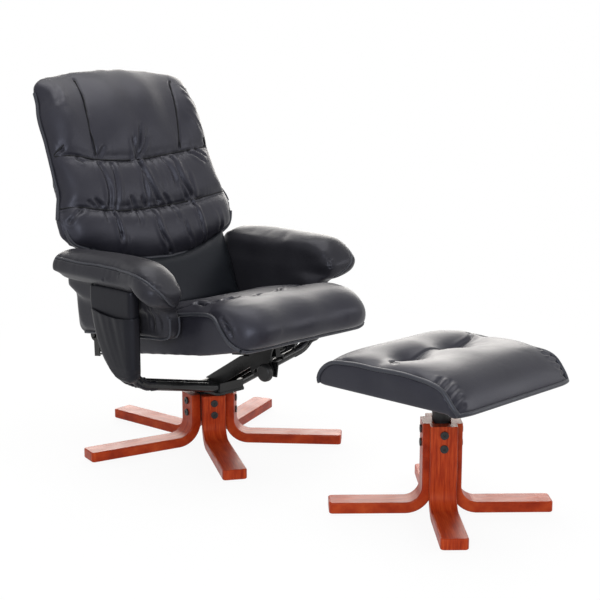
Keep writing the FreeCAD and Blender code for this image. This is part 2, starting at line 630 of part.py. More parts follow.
def arm_parts():
    board = box(ARM_BOARD_INNER_X, ARM_BOARD_OUTER_X, ARM_BOARD_FRONT, ARM_BOARD_REAR,
                ARM_BOARD_LOW, ARM_BOARD_LOW + ARM_BOARD_THICKNESS)
    lefts = {"arm_board": board, "arm_pad": moved(arm_pad(), 0, 0, SOFT_CLEARANCE),
             "arm_panel": arm_panel(), "arm_sleeve": arm_sleeve(), "back_pivot_pin": pivot_pin()}
    nodes = {}
    for name, shape in lefts.items():
        nodes[f"{name}_left"] = shape
        nodes[f"{name}_right"] = flipped(shape)
    nodes["side_pocket"] = side_pocket()
    return nodes


def rail_parts():
    """Rail on the support arm, and the seat's runner that wraps it."""
    head_top = -RUNNER_WALL - SLIDE_CLEARANCE
    head_low = head_top - RAIL_HEAD_HEIGHT
    inner, outer = RAIL_HEAD_HALF + SLIDE_CLEARANCE, RAIL_HEAD_HALF + SLIDE_CLEARANCE + RUNNER_WALL
    lip_top = head_low - SLIDE_CLEARANCE
    rail = box(-RAIL_HEAD_HALF, RAIL_HEAD_HALF, -RAIL_FRONT, -RAIL_REAR, head_low, head_top)
    rail = rail.fuse(box(-RAIL_STEM_HALF, RAIL_STEM_HALF, -RAIL_FRONT, -RAIL_REAR,
                         -RUNNER_WALL - RAIL_HEIGHT, head_low)).removeSplitter()
    runner = box(-outer, outer, -RUNNER_FRONT, -RUNNER_REAR, lip_top - RUNNER_WALL, 0)
    runner = runner.cut(box(-inner, inner, -RUNNER_FRONT, -RUNNER_REAR, lip_top, -RUNNER_WALL))
    slot = RAIL_STEM_HALF + 2 * SLIDE_CLEARANCE
    runner = runner.cut(box(-slot, slot, -RUNNER_FRONT, -RUNNER_REAR, lip_top - RUNNER_WALL, lip_top))
    return sloped(rail), sloped(runner)


def support_arm():
    """Channel that rises forwards from the saddle to carry the rail, with a lug for the lock's rod."""
    foot = PLATE_TOP + SADDLE_HEIGHT
    rise = math.tan(math.radians(ARM_CHANNEL_RISE))
    drop = (RUNNER_WALL + RAIL_HEIGHT) / math.cos(math.radians(SEAT_SLOPE))
    slope = math.tan(math.radians(SEAT_SLOPE))
    rail_low = SEAT_BOTTOM_Z - drop
    meet = (rail_low - foot + ARM_CHANNEL_BACK * -rise) / (rise - slope)
    end = -RAIL_FRONT
    top = rail_low - end * slope
    outline = [(end, top - 14, 0), (LUG_BACK + 10, foot + (ARM_CHANNEL_FOOT - LUG_BACK - 10) * rise, 0),
               (ARM_CHANNEL_FOOT, foot, 0), (ARM_CHANNEL_BACK, foot, 0),
               (-meet, rail_low + meet * slope, 0), (end, top, 0)]
    lug = [(LUG_FRONT + 6, LUG_LOW, 0), (LUG_BACK, LUG_LOW, 0), (LUG_BACK, top - 14, 0),
           (LUG_FRONT, top - 10, 0)]
    arm = slab(outline, -ARM_CHANNEL_HALF, ARM_CHANNEL_HALF)
    hollow = ARM_CHANNEL_HALF - ARM_CHANNEL_WALL
    arm = arm.cut(moved(slab(outline, -hollow, hollow), 0, 0, -ARM_CHANNEL_WALL))
    arm = arm.fuse(slab(lug, -ARM_CHANNEL_HALF, -hollow)).removeSplitter()
    return arm.cut(rod(KNOB_ROD_RADIUS + BOLT_CLEARANCE, V(-100, KNOB_ROD_Y, KNOB_ROD_Z),
                       V(100, KNOB_ROD_Y, KNOB_ROD_Z)))


def lock_parts():
    """Rod in the support arm's lug, slotted plate under the seat, and the knob."""
    runner_side = RAIL_HEAD_HALF + SLIDE_CLEARANCE + RUNNER_WALL
    plate_face = -runner_side - 2 * SLIDE_CLEARANCE
    plate_outer = plate_face - LOCK_PLATE_THICKNESS
    knob_face = plate_outer - SLIDE_CLEARANCE
    disc_face = knob_face - KNOB_BOSS_LENGTH
    rod_end = disc_face - KNOB_THICKNESS / 2
    rod_inner = ARM_CHANNEL_WALL - ARM_CHANNEL_HALF + 3
    axis = [KNOB_ROD_Y, KNOB_ROD_Z]

    turn = math.radians(SEAT_SLOPE)
    drop = KNOB_ROD_Z - SEAT_BOTTOM_Z
    slot_y = KNOB_ROD_Y * math.cos(turn) - drop * math.sin(turn)
    slot_z = KNOB_ROD_Y * math.sin(turn) + drop * math.cos(turn)
    half = KNOB_ROD_RADIUS + SLIDE_CLEARANCE
    margin = LOCK_PLATE_MARGIN
    front, rear = slot_y - margin, slot_y + SEAT_TRAVEL + margin
    outline = [(front, slot_z, 0), (front + margin, slot_z - margin, 0), (rear - margin, slot_z - margin, 0),
               (rear, slot_z, 0), (rear, 0, 0), (front - 22, 0, -16)]
    plate = slab(outline, plate_outer, plate_face)
    plate = plate.fuse(box(plate_outer - LOCK_PLATE_FLANGE, plate_outer, front - 8, rear,
                           -LOCK_PLATE_THICKNESS, 0))
    for y in (slot_y, slot_y + SEAT_TRAVEL):
        plate = plate.cut(rod(half, V(-200, y, slot_z), V(200, y, slot_z)))
    plate = plate.cut(box(-200, 200, slot_y, slot_y + SEAT_TRAVEL, slot_z - half, slot_z + half))

    knob = rod(KNOB_BOSS_RADIUS, V(disc_face, *axis), V(knob_face, *axis))
    disc = rod(KNOB_RADIUS, V(disc_face - KNOB_THICKNESS, *axis), V(disc_face, *axis))
    knob = knob.fuse(disc.makeFillet(KNOB_ROUND, disc.Edges[0:1] + disc.Edges[2:3]))
    knob_rod = rod(KNOB_ROD_RADIUS, V(rod_end, *axis), V(rod_inner, *axis))
    bore = rod(KNOB_ROD_RADIUS + RUNNING_FIT, V(rod_end - SLIDE_CLEARANCE, *axis), V(0, *axis))
    return knob_rod, sloped(plate), knob.cut(bore)


def seat_cushion():
    """Seat pad with a full rolled nose, a gathered seam behind it and a crown that dies out at the sides."""
    front_low = seat_low(SEAT_FRONT) + 24
    kink = SEAT_FRONT + 136

    def section(x, share):
        crown = SEAT_CROWN * share
        return (x, [(SEAT_FRONT + 12 - 6 * share, front_low - 14, 0), (kink, seat_low(kink), 0),
                    (SEAT_REAR, seat_low(SEAT_REAR), 0),
                    (SEAT_REAR, seat_low(SEAT_REAR) + SEAT_REAR_HEIGHT, 0),
                    (88, 344 + crown * 0.15, crown * 0.5 + 1), (-196, 408 + crown * 0.85, 3 + crown * 0.1),
                    (-272 - 30 * share, 413 + 24 * share, 6 + 8 * share),
                    (-322 - SEAT_NOSE * share, 376 + 14 * share, 2 + 8 * share),
                    (SEAT_FRONT - 4 * share, front_low - 4, 3)])

    half = SEAT_HALF_WIDTH
    return padded_loft(mirrored([section(0, 1), section(half * 0.5, 1), section(half * 0.86, 0.85),
                                 section(half, 0.06)]))


def seat_parts():
    board = sloped(box(-SEAT_BOARD_HALF_WIDTH, SEAT_BOARD_HALF_WIDTH, -SEAT_BOARD_FRONT, SEAT_BOARD_REAR,
                       0, SEAT_BOARD_THICKNESS))
    wide = SEAT_BOARD_HALF_WIDTH + SOFT_CLEARANCE
    recess = sloped(box(-wide, wide, -SEAT_BOARD_FRONT - SOFT_CLEARANCE, SEAT_BOARD_REAR + SOFT_CLEARANCE,
                        -20, SEAT_BOARD_THICKNESS + SOFT_CLEARANCE))
    plate_x = SEAT_HALF_WIDTH + SOFT_CLEARANCE
    outer_x = plate_x + SEAT_BRACKET_THICKNESS
    foot = SEAT_BRACKET_THICKNESS
    low = seat_low(SEAT_PIN_Y)
    upright = slab([(SEAT_PIN_Y - 13, low - 6, 0), (SEAT_PIN_Y + 9, low - 9, 0),
                    (SEAT_PIN_Y + 11, SEAT_PIN_Z, 0), (SEAT_PIN_Y, SEAT_PIN_Z + 11, 0),
                    (SEAT_PIN_Y - 11, SEAT_PIN_Z, 0)], plate_x, outer_x)
    tongue = sloped(box(SEAT_BOARD_HALF_WIDTH - 40, outer_x, SEAT_BOARD_REAR - 50, SEAT_BOARD_REAR,
                        -foot - SOFT_CLEARANCE, -SOFT_CLEARANCE))
    pin = rod(SEAT_PIN_RADIUS, V(plate_x, SEAT_PIN_Y, SEAT_PIN_Z),
              V(BACK_INNER_HALF_WIDTH + BACK_BRACKET_THICKNESS + 3, SEAT_PIN_Y, SEAT_PIN_Z))
    bracket = upright.fuse(tongue).fuse(pin)
    return {"seat_board": board, "seat_cushion": seat_cushion().cut(recess),
            "seat_hinge_bracket_left": bracket, "seat_hinge_bracket_right": flipped(bracket)}


def between(table, x):
    """Value at x on straight runs through a table of (x, value) points."""
    for (x0, value0), (x1, value1) in zip(table, table[1:]):
        if x <= x1:
            return value0 + (value1 - value0) * (x - x0) / (x1 - x0)
    return table[-1][1]


def smile(x):
    """Height of the cushion's lower piped edge above the pivot."""
    return between(SMILE, x / BACK_HALF_WIDTH)


def head_line(x):
    """Height of the cushion's upper edge above the pivot."""
    return between(HEAD, x / BACK_HALF_WIDTH)


def back_cushion():
    """Front cushion in three bands: a head with two upright seams, and two gathered bands below it."""
    rear = BACK_BOARD_FRONT + SOFT_CLEARANCE

    def section(x, share, dip):
        edge, seam = BACK_EDGE, BACK_EDGE + share * (BACK_SEAM_HEIGHT - BACK_EDGE)
        band = share * (BACK_BAND_CROWN - BACK_SEAM_HEIGHT) + 1.5
        head = share * (BACK_HEAD_CROWN - BACK_SEAM_HEIGHT) * 1.3 + 2 - dip
        low, high = smile(x), head_line(x)
        first = min(331 + 26 * (x / BACK_HALF_WIDTH) ** 2, low + 0.7 * (high - low))
        second = min(188 + 27 * (x / BACK_HALF_WIDTH) ** 2, low + 0.4 * (high - low))
        return (x, back_outline([(low, rear, 0), (high - 8, rear, 0), (high, edge - 4, head),
                                 (first, seam, band), (second, seam, band), (low + 4, seam * 0.75 + 3, 1)]))

    half, seam_x = BACK_HALF_WIDTH, HEAD_SEAM_X
    return padded_loft(mirrored([section(0, 1, 0), section(seam_x * 0.55, 1, 0),
                                 section(seam_x, 0.96, HEAD_SEAM_DIP),
                                 section(seam_x + HEAD_SIDE_ROLL, 0.9, 0), section(half * 0.844, 0.72, 0),
                                 section(half * 0.924, 0.34, 0), section(half * 0.976, 0.08, 0),
                                 section(half, 0, 0)]))


def lumbar_panel():
    rear = BACK_BOARD_FRONT + SOFT_CLEARANCE

    def section(x, share):
        crown = LUMBAR_CROWN * (0.8 + 0.2 * share)
        top = smile(x) - 1.5
        return (x, back_outline([(LUMBAR_LOW, rear, 0), (top, rear, 0), (top, crown * 0.72, 2 + 3 * share),
                                 (LUMBAR_LOW, crown * 0.88, 1)]))

    half = LUMBAR_HALF_WIDTH
    return padded_loft(mirrored([section(0, 1), section(half * 0.6, 0.9), section(half, 0)]))


def back_cover(half, low, high, depth):
    """Rear cover between two heights, crowned backwards."""
    front = BACK_BOARD_REAR - SOFT_CLEARANCE

    def section(x, share):
        rear = front - BACK_COVER_RIM - (depth - BACK_COVER_RIM) * share
        end = high if high < BACK_COVER_SPLIT else head_line(x) - 14
        return (x, back_outline([(end, front, 0), (end - 14, rear, 5 * share + 1), (low + 6, rear, 0),
                                 (low, front, 0)]))

    return padded_loft(mirrored([section(0, 1), section(half * 0.6, 0.8), section(half, 0)]))


def flat_back_piece(points, rear, front):
    """Plate parallel to the back, through (x, up) points, between two distances from the pivot's plane."""
    corners = [V(x, *back_point(up, rear)) for x, up in points]
    face = Part.Face(Part.makePolygon(corners + corners[:1]))
    return face.extrude(V(0, -LEAN_COS, LEAN_SIN) * (front - rear))


def back_parts():
    inner = BACK_INNER_HALF_WIDTH
    half = BACK_HALF_WIDTH - BACK_COVER_INSET
    right_side = [(0, LUMBAR_LOW + 20), (inner, LUMBAR_LOW + 20), (inner, BACK_COVER_SPLIT + 12),
                  (half, smile(half) + 40), (half - 6, 350), (half - 12, 540),
                  (inner, head_line(inner) - 16), (HEAD_SEAM_X, head_line(HEAD_SEAM_X) - 14),
                  (0, BACK_TOP - 14)]
    outline = right_side + [(-x, up) for x, up in reversed(right_side) if x > 0]
    board = flat_back_piece(outline, BACK_BOARD_REAR, BACK_BOARD_FRONT)

    reach = BACK_BRACKET_WIDTH / 2
    middle = (BACK_BOARD_REAR + BACK_BOARD_FRONT) / 2
    high_y, high_z = back_point(BACK_BRACKET_TOP, middle)
    outer = inner + BACK_BRACKET_THICKNESS
    side_x = V(inner, 0, 0)
    links = [((PIVOT_Y, PIVOT_Z), (high_y, high_z)), ((PIVOT_Y, PIVOT_Z), (SEAT_PIN_Y, SEAT_PIN_Z))]
    bracket = rod(reach, V(inner, PIVOT_Y, PIVOT_Z), V(outer, PIVOT_Y, PIVOT_Z))
    for (y0, z0), (y1, z1) in links:
        run = V(0, y1 - y0, z1 - z0)
        across = V(0, -run.z, run.y).normalize() * reach
        start, end = side_x + V(0, y0, z0), side_x + V(0, y1, z1)
        strip = Part.makePolygon([start - across, end - across, end + across, start + across,
                                  start - across])
        bracket = bracket.fuse(Part.Face(strip).extrude(V(BACK_BRACKET_THICKNESS, 0, 0)))
        bracket = bracket.fuse(rod(reach, end, end + V(BACK_BRACKET_THICKNESS, 0, 0)))
    bracket = bracket.removeSplitter()
    cover_half = half - BACK_COVER_SIDE
    bracket = bracket.cut(rod(PIVOT_PIN_RADIUS + RUNNING_FIT, V(inner - 1, PIVOT_Y, PIVOT_Z),
                              V(outer + 1, PIVOT_Y, PIVOT_Z)))
    bracket = bracket.cut(rod(SEAT_PIN_RADIUS + OPEN_PIVOT_CLEARANCE, V(inner - 1, SEAT_PIN_Y, SEAT_PIN_Z),
                              V(outer + 1, SEAT_PIN_Y, SEAT_PIN_Z)))
    return {"back_board": board, "back_cushion": back_cushion(), "lumbar_panel": lumbar_panel(),
            "back_cover": back_cover(cover_half, BACK_COVER_SPLIT + 12, BACK_TOP, BACK_COVER_DEPTH),
            "back_cover_lower": back_cover(LUMBAR_HALF_WIDTH, LUMBAR_LOW + 24, BACK_COVER_SPLIT - 2,
                                           BACK_COVER_DEPTH * 0.8),
            "back_bracket_left": bracket, "back_bracket_right": flipped(bracket)}


def stool_cushion():
    """Stool pad with rolled ends, a cross seam and two deep tufts on it."""
    half = STOOL_LENGTH / 2
    low, side = STOOL_BOTTOM, STOOL_BOTTOM + STOOL_SIDE_HEIGHT

    def section(x, share, dip):
        crown = STOOL_CROWN * share
        return (x, [(-half + 15, low - 4, 0), (-half + 40, low + 2, 0), (half - 16, low + 2, 3),
                    (half - 1, low + 18, 15 + share * 4),
                    (half - 84, side + 2 + crown * 0.7, 3 + crown * 0.15),
                    (STOOL_SEAM_Y, side + 2 + crown - dip, 4 + crown * 0.22),
                    (-half + 88, side + crown * 0.7, 11 + share * 3), (-half + 3, low + 9, 2)])

    wide, tuft = STOOL_HALF_WIDTH, STOOL_TUFT_X
    pad = padded_loft(mirrored([section(0, 1, STOOL_SEAM_DIP), section(tuft, 1, STOOL_TUFT_DIP),
                                section((wide + tuft) / 2, 0.92, STOOL_SEAM_DIP),
                                section(wide * 0.9, 0.5, 4), section(wide, 0, 0)]))
    return moved(pad, 0, STOOL_TOP_SHIFT)


def stool_top_parts():
    board_half = STOOL_BOARD_HALF
    low = STOOL_BOTTOM + 2
    board_top = low + STOOL_BOARD_THICKNESS
    plate_low = low - STOOL_PLATE_THICKNESS
    soft = SOFT_CLEARANCE
    board = box(-board_half, board_half, -board_half, board_half, low, board_top)
    recess = box(-board_half - soft, board_half + soft, -board_half - soft, board_half + soft,
                 low - 20, board_top + soft)
    column_low = GLIDE_HEIGHT + LEG_THICKNESS + LEG_BEND + HUB_FLOOR + THRUST_GAP
    collar_low = STOOL_LEG_TOP + THRUST_GAP
    column = rod(STOOL_SPINDLE_RADIUS, V(0, 0, column_low), V(0, 0, collar_low))
    column = column.fuse(rod(STOOL_COLUMN_RADIUS, V(0, 0, collar_low), V(0, 0, plate_low)))
    half = STOOL_PLATE_HALF
    plate = box(-half, half, -half, half, plate_low, low)
    screw = hex_screw(STOOL_SCREW_RADIUS, STOOL_SCREW_RADIUS * 2, 3, 0, STOOL_PLATE_THICKNESS + 8)
    screw.rotate(V(0, 0, 0), V(1, 0, 0), 180)
    hole = rod(STOOL_SCREW_RADIUS + BOLT_CLEARANCE, V(0, 0, plate_low),
               V(0, 0, plate_low + STOOL_PLATE_THICKNESS + 8))
    inset = half - STOOL_SCREW_INSET
    places = [(x * inset, y * inset) for x in (-1, 1) for y in (-1, 1)]
    for x, y in places:
        plate = plate.cut(moved(hole, x, y))
        board = board.cut(moved(hole, x, y))
    screws = Part.makeCompound([moved(screw, x, y, plate_low) for x, y in places])
    return {"stool_column": column, "stool_top_plate": plate, "stool_plate_screws": screws,
            "stool_board": board, "stool_cushion": stool_cushion().cut(recess)}


def chair_nodes():
    distances = [hub_apothem(CHAIR_LEGS)] * CHAIR_LEGS
    nodes = pedestal("chair", distances, CHAIR_SPINDLE_RADIUS, CHAIR_LEG_TOP, CHAIR_LEG_REACH,
                     CHAIR_BASE_TURN)
    nodes.update(swivel_parts())
    nodes.update(arm_frame_parts())
    nodes.update(arm_parts())
    nodes["seat_support_arm"] = support_arm()
    nodes["seat_rail"], nodes["seat_runner"] = rail_parts()
    nodes["lock_rod"], nodes["lock_plate"], nodes["lock_knob"] = lock_parts()
    nodes.update(seat_parts())
    nodes.update(back_parts())
    return nodes


def stool_nodes():
    distances = [hub_apothem(4), STOOL_HUB_HALF] * 2
    nodes = pedestal("stool", distances, STOOL_SPINDLE_RADIUS, STOOL_LEG_TOP, STOOL_LEG_REACH,
                     STOOL_BASE_TURN)
    nodes.update(stool_top_parts())
    return nodes


def build():
    """Every node in the part's frame."""
    nodes = {name: moved(shape, 0, CHAIR_AXIS_Y) for name, shape in chair_nodes().items()}
    nodes.update({name: moved(shape, 0, STOOL_AXIS_Y) for name, shape in stool_nodes().items()})
    return nodes


def main():
    os.makedirs("parts", exist_ok=True)
    for name, shape in build().items():
        shape.exportStep(f"parts/{name}.step")


main()
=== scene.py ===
import math

import bmesh
import bpy
import numpy as np
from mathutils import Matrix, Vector
from mathutils.bvhtree import BVHTree


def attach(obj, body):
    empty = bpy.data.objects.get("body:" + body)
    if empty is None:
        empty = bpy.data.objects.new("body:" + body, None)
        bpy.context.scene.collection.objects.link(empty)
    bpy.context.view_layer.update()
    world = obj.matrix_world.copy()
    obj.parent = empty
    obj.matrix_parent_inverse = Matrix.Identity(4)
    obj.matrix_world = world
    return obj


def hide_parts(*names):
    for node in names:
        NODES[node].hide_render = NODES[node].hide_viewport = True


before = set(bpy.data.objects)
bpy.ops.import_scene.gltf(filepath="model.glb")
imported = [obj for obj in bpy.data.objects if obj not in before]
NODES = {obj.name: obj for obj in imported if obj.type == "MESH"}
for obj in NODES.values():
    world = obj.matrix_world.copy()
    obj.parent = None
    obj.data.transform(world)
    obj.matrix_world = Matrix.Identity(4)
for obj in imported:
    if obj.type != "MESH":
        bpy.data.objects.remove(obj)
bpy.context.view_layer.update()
SCENE = bpy.context.scene

# Places below are in millimetres from the chair's swivel axis, with the chair facing -Y.
# Those of the back are (x, up): up runs along its lean from the pivot, forward stands out of its front.
CHAIR_Y = 0.280215
STOOL_Y = -0.511785
PIVOT_Y, PIVOT_Z, BACK_LEAN = 185, 430, math.radians(22.6)
LEAN_SIN, LEAN_COS = math.sin(BACK_LEAN), math.cos(BACK_LEAN)
OUT_OF_BACK = Vector((0, -LEAN_COS, LEAN_SIN))
UP_BACK = np.array((0, LEAN_SIN, LEAN_COS))
UP = Vector((0, 0, 1))
AIR_FRAMES = 20
WELT_LIFT = 0.0026

SMILE = [(0, 42), (82, 49), (150, 66), (202, 85), (243, 103), (268, 119), (281, 136), (288, 160)]
HEAD_LINE = [(0, 613), (82, 611), (150, 603), (202, 596), (243, 582), (266, 542), (274, 400), (281, 235),
             (288, 190)]
HEAD_SEAM = [(-284, 362), (-269, 360), (-224, 351), (-159, 335), (-90, 327), (-24, 325), (53, 330),
             (148, 340), (249, 351), (280, 356)]
BAND_SEAM = [(-288, 219), (-241, 209), (-173, 193), (-105, 186), (-19, 185), (60, 189), (155, 197),
             (280, 217), (288, 219)]
HEAD_UPRIGHT_RIGHT = [(-147, 606), (-138, 570), (-144, 517), (-153, 466), (-158, 405), (-158, 345)]
HEAD_UPRIGHT_LEFT = [(192, 598), (180, 544), (164, 477), (152, 417), (140, 348)]
CROSS_SEAMS = (HEAD_SEAM, BAND_SEAM)
UPRIGHT_SEAMS = (HEAD_UPRIGHT_RIGHT, HEAD_UPRIGHT_LEFT)
BACK_VOXEL = 0.0062
LUMBAR_WIDER = 238 / 224
LUMBAR_LIFT, COVER_DROP, EDGE_REACH = 0.016, 0.010, 40

# Gathers of the back: depth and width, to be multiplied by the scales, then the places they run through.
# Those of the depth SLIT also get a very dark cord in the crease, as painted shade.
FOLD_DEPTH, FOLD_WIDTH, SLIT = 0.0011, 0.00062, 9
BACK_FOLDS = [
    (6, 8, (-157, 318), (-152, 248), (-158, 198)), (6, 8, (-118, 316), (-125, 254), (-138, 192)),
    (9, 8, (-28, 320), (-15, 257), (4, 200)), (6, 7, (-28, 310), (-32, 254), (-33, 189)),
    (5, 8, (62, 322), (74, 273), (78, 222)), (9, 8, (96, 322), (102, 258), (129, 204)),
    (5, 7, (130, 285), (141, 203)), (5, 7, (-207, 230), (-184, 203)), (4, 6, (-221, 220), (-207, 207)),
    (5, 7, (-91, 228), (-78, 190)), (5, 7, (-55, 224), (-44, 190)), (5, 7, (21, 226), (43, 190)),
    (5, 7, (88, 255), (109, 200)), (5, 8, (172, 336), (220, 294)), (4, 7, (200, 342), (233, 314)),
    (4, 7, (-215, 342), (-195, 324)), (4, 8, (21, 322), (37, 215)),
    (9, 6, (-154, 184), (-152, 121), (-141, 66)), (9, 7, (-22, 178), (-18, 110), (15, 56)),
    (9, 6, (127, 188), (133, 122), (142, 72)), (6, 7, (69, 160), (80, 96), (107, 58)),
    (5, 8, (-280, 178), (-245, 203)), (5, 9, (207, 165), (220, 105)), (5, 8, (-75, 182), (-81, 130)),
    (4, 8, (-176, 190), (-183, 150)), (5, 8, (48, 182), (61, 128)), (5, 7, (-135, 119), (-127, 66)),
    (5, 7, (-18, 80), (-5, 48)),
    (10, 8, (10, 432), (-13, 362), (-25, 328)), (6, 7, (22, 395), (0, 350), (-19, 328)),
    (5, 8, (-125, 372), (-149, 338)), (3, 10, (-206, 560), (-266, 522)), (4, 10, (-206, 514), (-270, 470)),
    (3, 9, (-200, 582), (-260, 544)), (4, 10, (206, 518), (250, 447)), (4, 7, (192, 462), (244, 384)),
    (5, 8, (-29, 397), (-30, 332)), (4, 9, (208, 542), (244, 488)), (3, 9, (-206, 538), (-268, 498)),
]


def at(x, y, z):
    """Row-frame place, in metres, of a place measured from the chair's axis."""
    return Vector((x / 1000, y / 1000 + CHAIR_Y, z / 1000))


def on_back(x, up, forward):
    return at(x, PIVOT_Y + up * LEAN_SIN - forward * LEAN_COS, PIVOT_Z + up * LEAN_COS + forward * LEAN_SIN)


def back_measures(places):
    """x, up and forward of row-frame places, in millimetres."""
    x, y, z = (places * 1000).T
    y, z = y - CHAIR_Y * 1000 - PIVOT_Y, z - PIVOT_Z
    return x, y * LEAN_SIN + z * LEAN_COS, z * LEAN_SIN - y * LEAN_COS


def chair_measures(places):
    x, y, z = (places * 1000).T
    return x, y - CHAIR_Y * 1000, z


def eased(points, step=0.006):
    """Smooth line through the points, as an array of places about `step` apart."""
    knots = np.array([list(p) for p in points], float)
    ends = np.vstack([2 * knots[0] - knots[1], knots, 2 * knots[-1] - knots[-2]])
    line = []
    for before, first, last, after in zip(ends, ends[1:], ends[2:], ends[3:]):
        count = max(2, int(np.linalg.norm(last - first) / step))
        t = (np.arange(count) / count)[:, None]
        line.append(0.5 * (2 * first + (last - before) * t
                           + (2 * before - 5 * first + 4 * last - after) * t ** 2
                           + (3 * first - before - 3 * last + after) * t ** 3))
    return np.vstack(line + [knots[-1:]])


# Meshes

def linked(name, data):
    piece = bpy.data.objects.new(name, data)
    SCENE.collection.objects.link(piece)
    return piece


def built(name, shell):
    """A piece made from a bmesh, which is freed."""
    mesh = bpy.data.meshes.new(name)
    shell.to_mesh(mesh)
    shell.free()
    return linked(name, mesh)


def finished_mesh(piece):
    """Mesh of a piece with its modifiers applied."""
    bpy.context.view_layer.update()
    return bpy.data.meshes.new_from_object(piece.evaluated_get(bpy.context.evaluated_depsgraph_get()))


def settle(piece):
    """Applies a piece's modifiers."""
    mesh, old = finished_mesh(piece), piece.data
    piece.modifiers.clear()
    piece.data = mesh
    mesh.name = piece.name
    bpy.data.meshes.remove(old)
    return piece


def places_of(mesh):
    flat = np.empty(len(mesh.vertices) * 3)
    mesh.vertices.foreach_get("co", flat)
    return flat.reshape(-1, 3)


def put_places(mesh, places):
    mesh.vertices.foreach_set("co", places.ravel())
    mesh.update()


def outwards_of(mesh):
    flat = np.empty(len(mesh.vertices) * 3)
    mesh.vertex_normals.foreach_get("vector", flat)
    return flat.reshape(-1, 3)


def surface(mesh):
    return BVHTree.FromPolygons([v.co for v in mesh.vertices], [p.vertices[:] for p in mesh.polygons])


def laid(skin, points, towards=None):
    """The points moved onto a surface, along `towards` where that is given, or else to the nearest place."""
    found = []
    for point in points:
        hit = skin.ray_cast(point - towards * 0.3, towards)[0] if towards is not None else None
        found.append(hit if hit is not None else skin.find_nearest(point)[0])
    return found


def smoothed(piece, rounds, group=""):
    """Applies a piece's modifiers with a smoothing after them, of all of it or of one vertex group."""
    smooth = piece.modifiers.new("ease", "SMOOTH")
    smooth.factor = 0.5
    smooth.iterations = rounds
    smooth.vertex_group = group
    return settle(piece)


def weigh(piece, name, shares):
    """Vertex group with a share for each point, in steps of a tenth."""
    group = piece.vertex_groups.new(name=name)
    steps = np.round(shares, 1)
    for level in np.unique(steps):
        group.add(np.where(steps == level)[0].tolist(), float(level), "REPLACE")


def shade_smooth(mesh):
    for face in mesh.polygons:
        face.use_smooth = True


def skin_blank(name, nodes, voxel, ease=5, fillings=()):
    """One closed skin round copies of some CAD nodes and the convex fillings between them."""
    shell = bmesh.new()
    for node in nodes:
        shell.from_mesh(NODES[node].data)
    bmesh.ops.remove_doubles(shell, verts=shell.verts, dist=1e-6)
    for corners in fillings:
        bmesh.ops.convex_hull(shell, input=[shell.verts.new(corner) for corner in corners])
    piece = built(name, shell)
    skin = piece.modifiers.new("skin", "REMESH")
    skin.mode = "VOXEL"
    skin.voxel_size = voxel
    return smoothed(piece, ease)


def line_reach(places, line):
    """Distance of each place from a line, and its share along the line."""
    lengths = np.concatenate([[0], np.cumsum(np.linalg.norm(np.diff(line, axis=0), axis=1))])
    nearest = np.full(len(places), 1.0)
    share = np.zeros(len(places))
    low, high = line.min(0) - 0.05, line.max(0) + 0.05
    close = np.where(((places > low) & (places < high)).all(1))[0]
    for start, end, before, after in zip(line, line[1:], lengths, lengths[1:]):
        run = end - start
        along = np.clip((places[close] - start) @ run / max(run @ run, 1e-12), 0, 1)
        reach = np.linalg.norm(places[close] - start - along[:, None] * run, axis=1)
        better = reach < nearest[close]
        nearest[close[better]] = reach[better]
        share[close[better]] = ((before + along * (after - before)) / lengths[-1])[better]
    return nearest, share


def soft_step(value):
    value = np.clip(value, 0, 1)
    return value * value * (3 - 2 * value)


def fold_relief(places, line, depth, width, seams=(), taper=0.4):
    """Relief of one crease: a groove along the line with a broad soft ridge on each side. It fades towards
    an end that is free, and keeps its depth at an end that a seam holds."""
    reach, share = line_reach(places, line)
    groove = np.exp(-(reach / width) ** 1.5)
    swell = np.exp(-((reach - 2.3 * width) / (1.5 * width)) ** 2)
    sewn = [any(line_reach(end, seam)[0][0] < 0.018 for seam in seams) for end in (line[:1], line[-1:])]
    fade = soft_step(share / taper + 0.75 * sewn[0]) * soft_step((1 - share) / taper + 0.75 * sewn[1])
    return depth * (0.38 * swell - groove) * fade


def seam_relief(places, line, depth, width):
    reach, _ = line_reach(places, line)
    return -depth * np.exp(-(reach / width) ** 2)


def pucker_relief(places, line, height, pitch, reach_out, phase=0.0):
    """Small gathers that run away from a seam."""
    reach, share = line_reach(places, line)
    length = np.linalg.norm(np.diff(line, axis=0), axis=1).sum()
    turns = share * length / pitch
    wave = np.sin(2 * math.pi * (turns + 0.35 * np.sin(turns * 1.7 + phase)) + phase)
    patch = 0.55 + 0.45 * np.sin(turns * 0.83 + 2 * phase)
    return height * wave * patch * np.exp(-(reach / reach_out)) * np.clip(reach / 0.006, 0, 1)


def held_along(places, lines, width):
    """1 on the lines, easing to 0 at twice the width."""
    hold = np.zeros(len(places))
    for line in lines:
        reach, _ = line_reach(places, line)
        hold = np.maximum(hold, soft_step(2 - reach / width))
    return hold


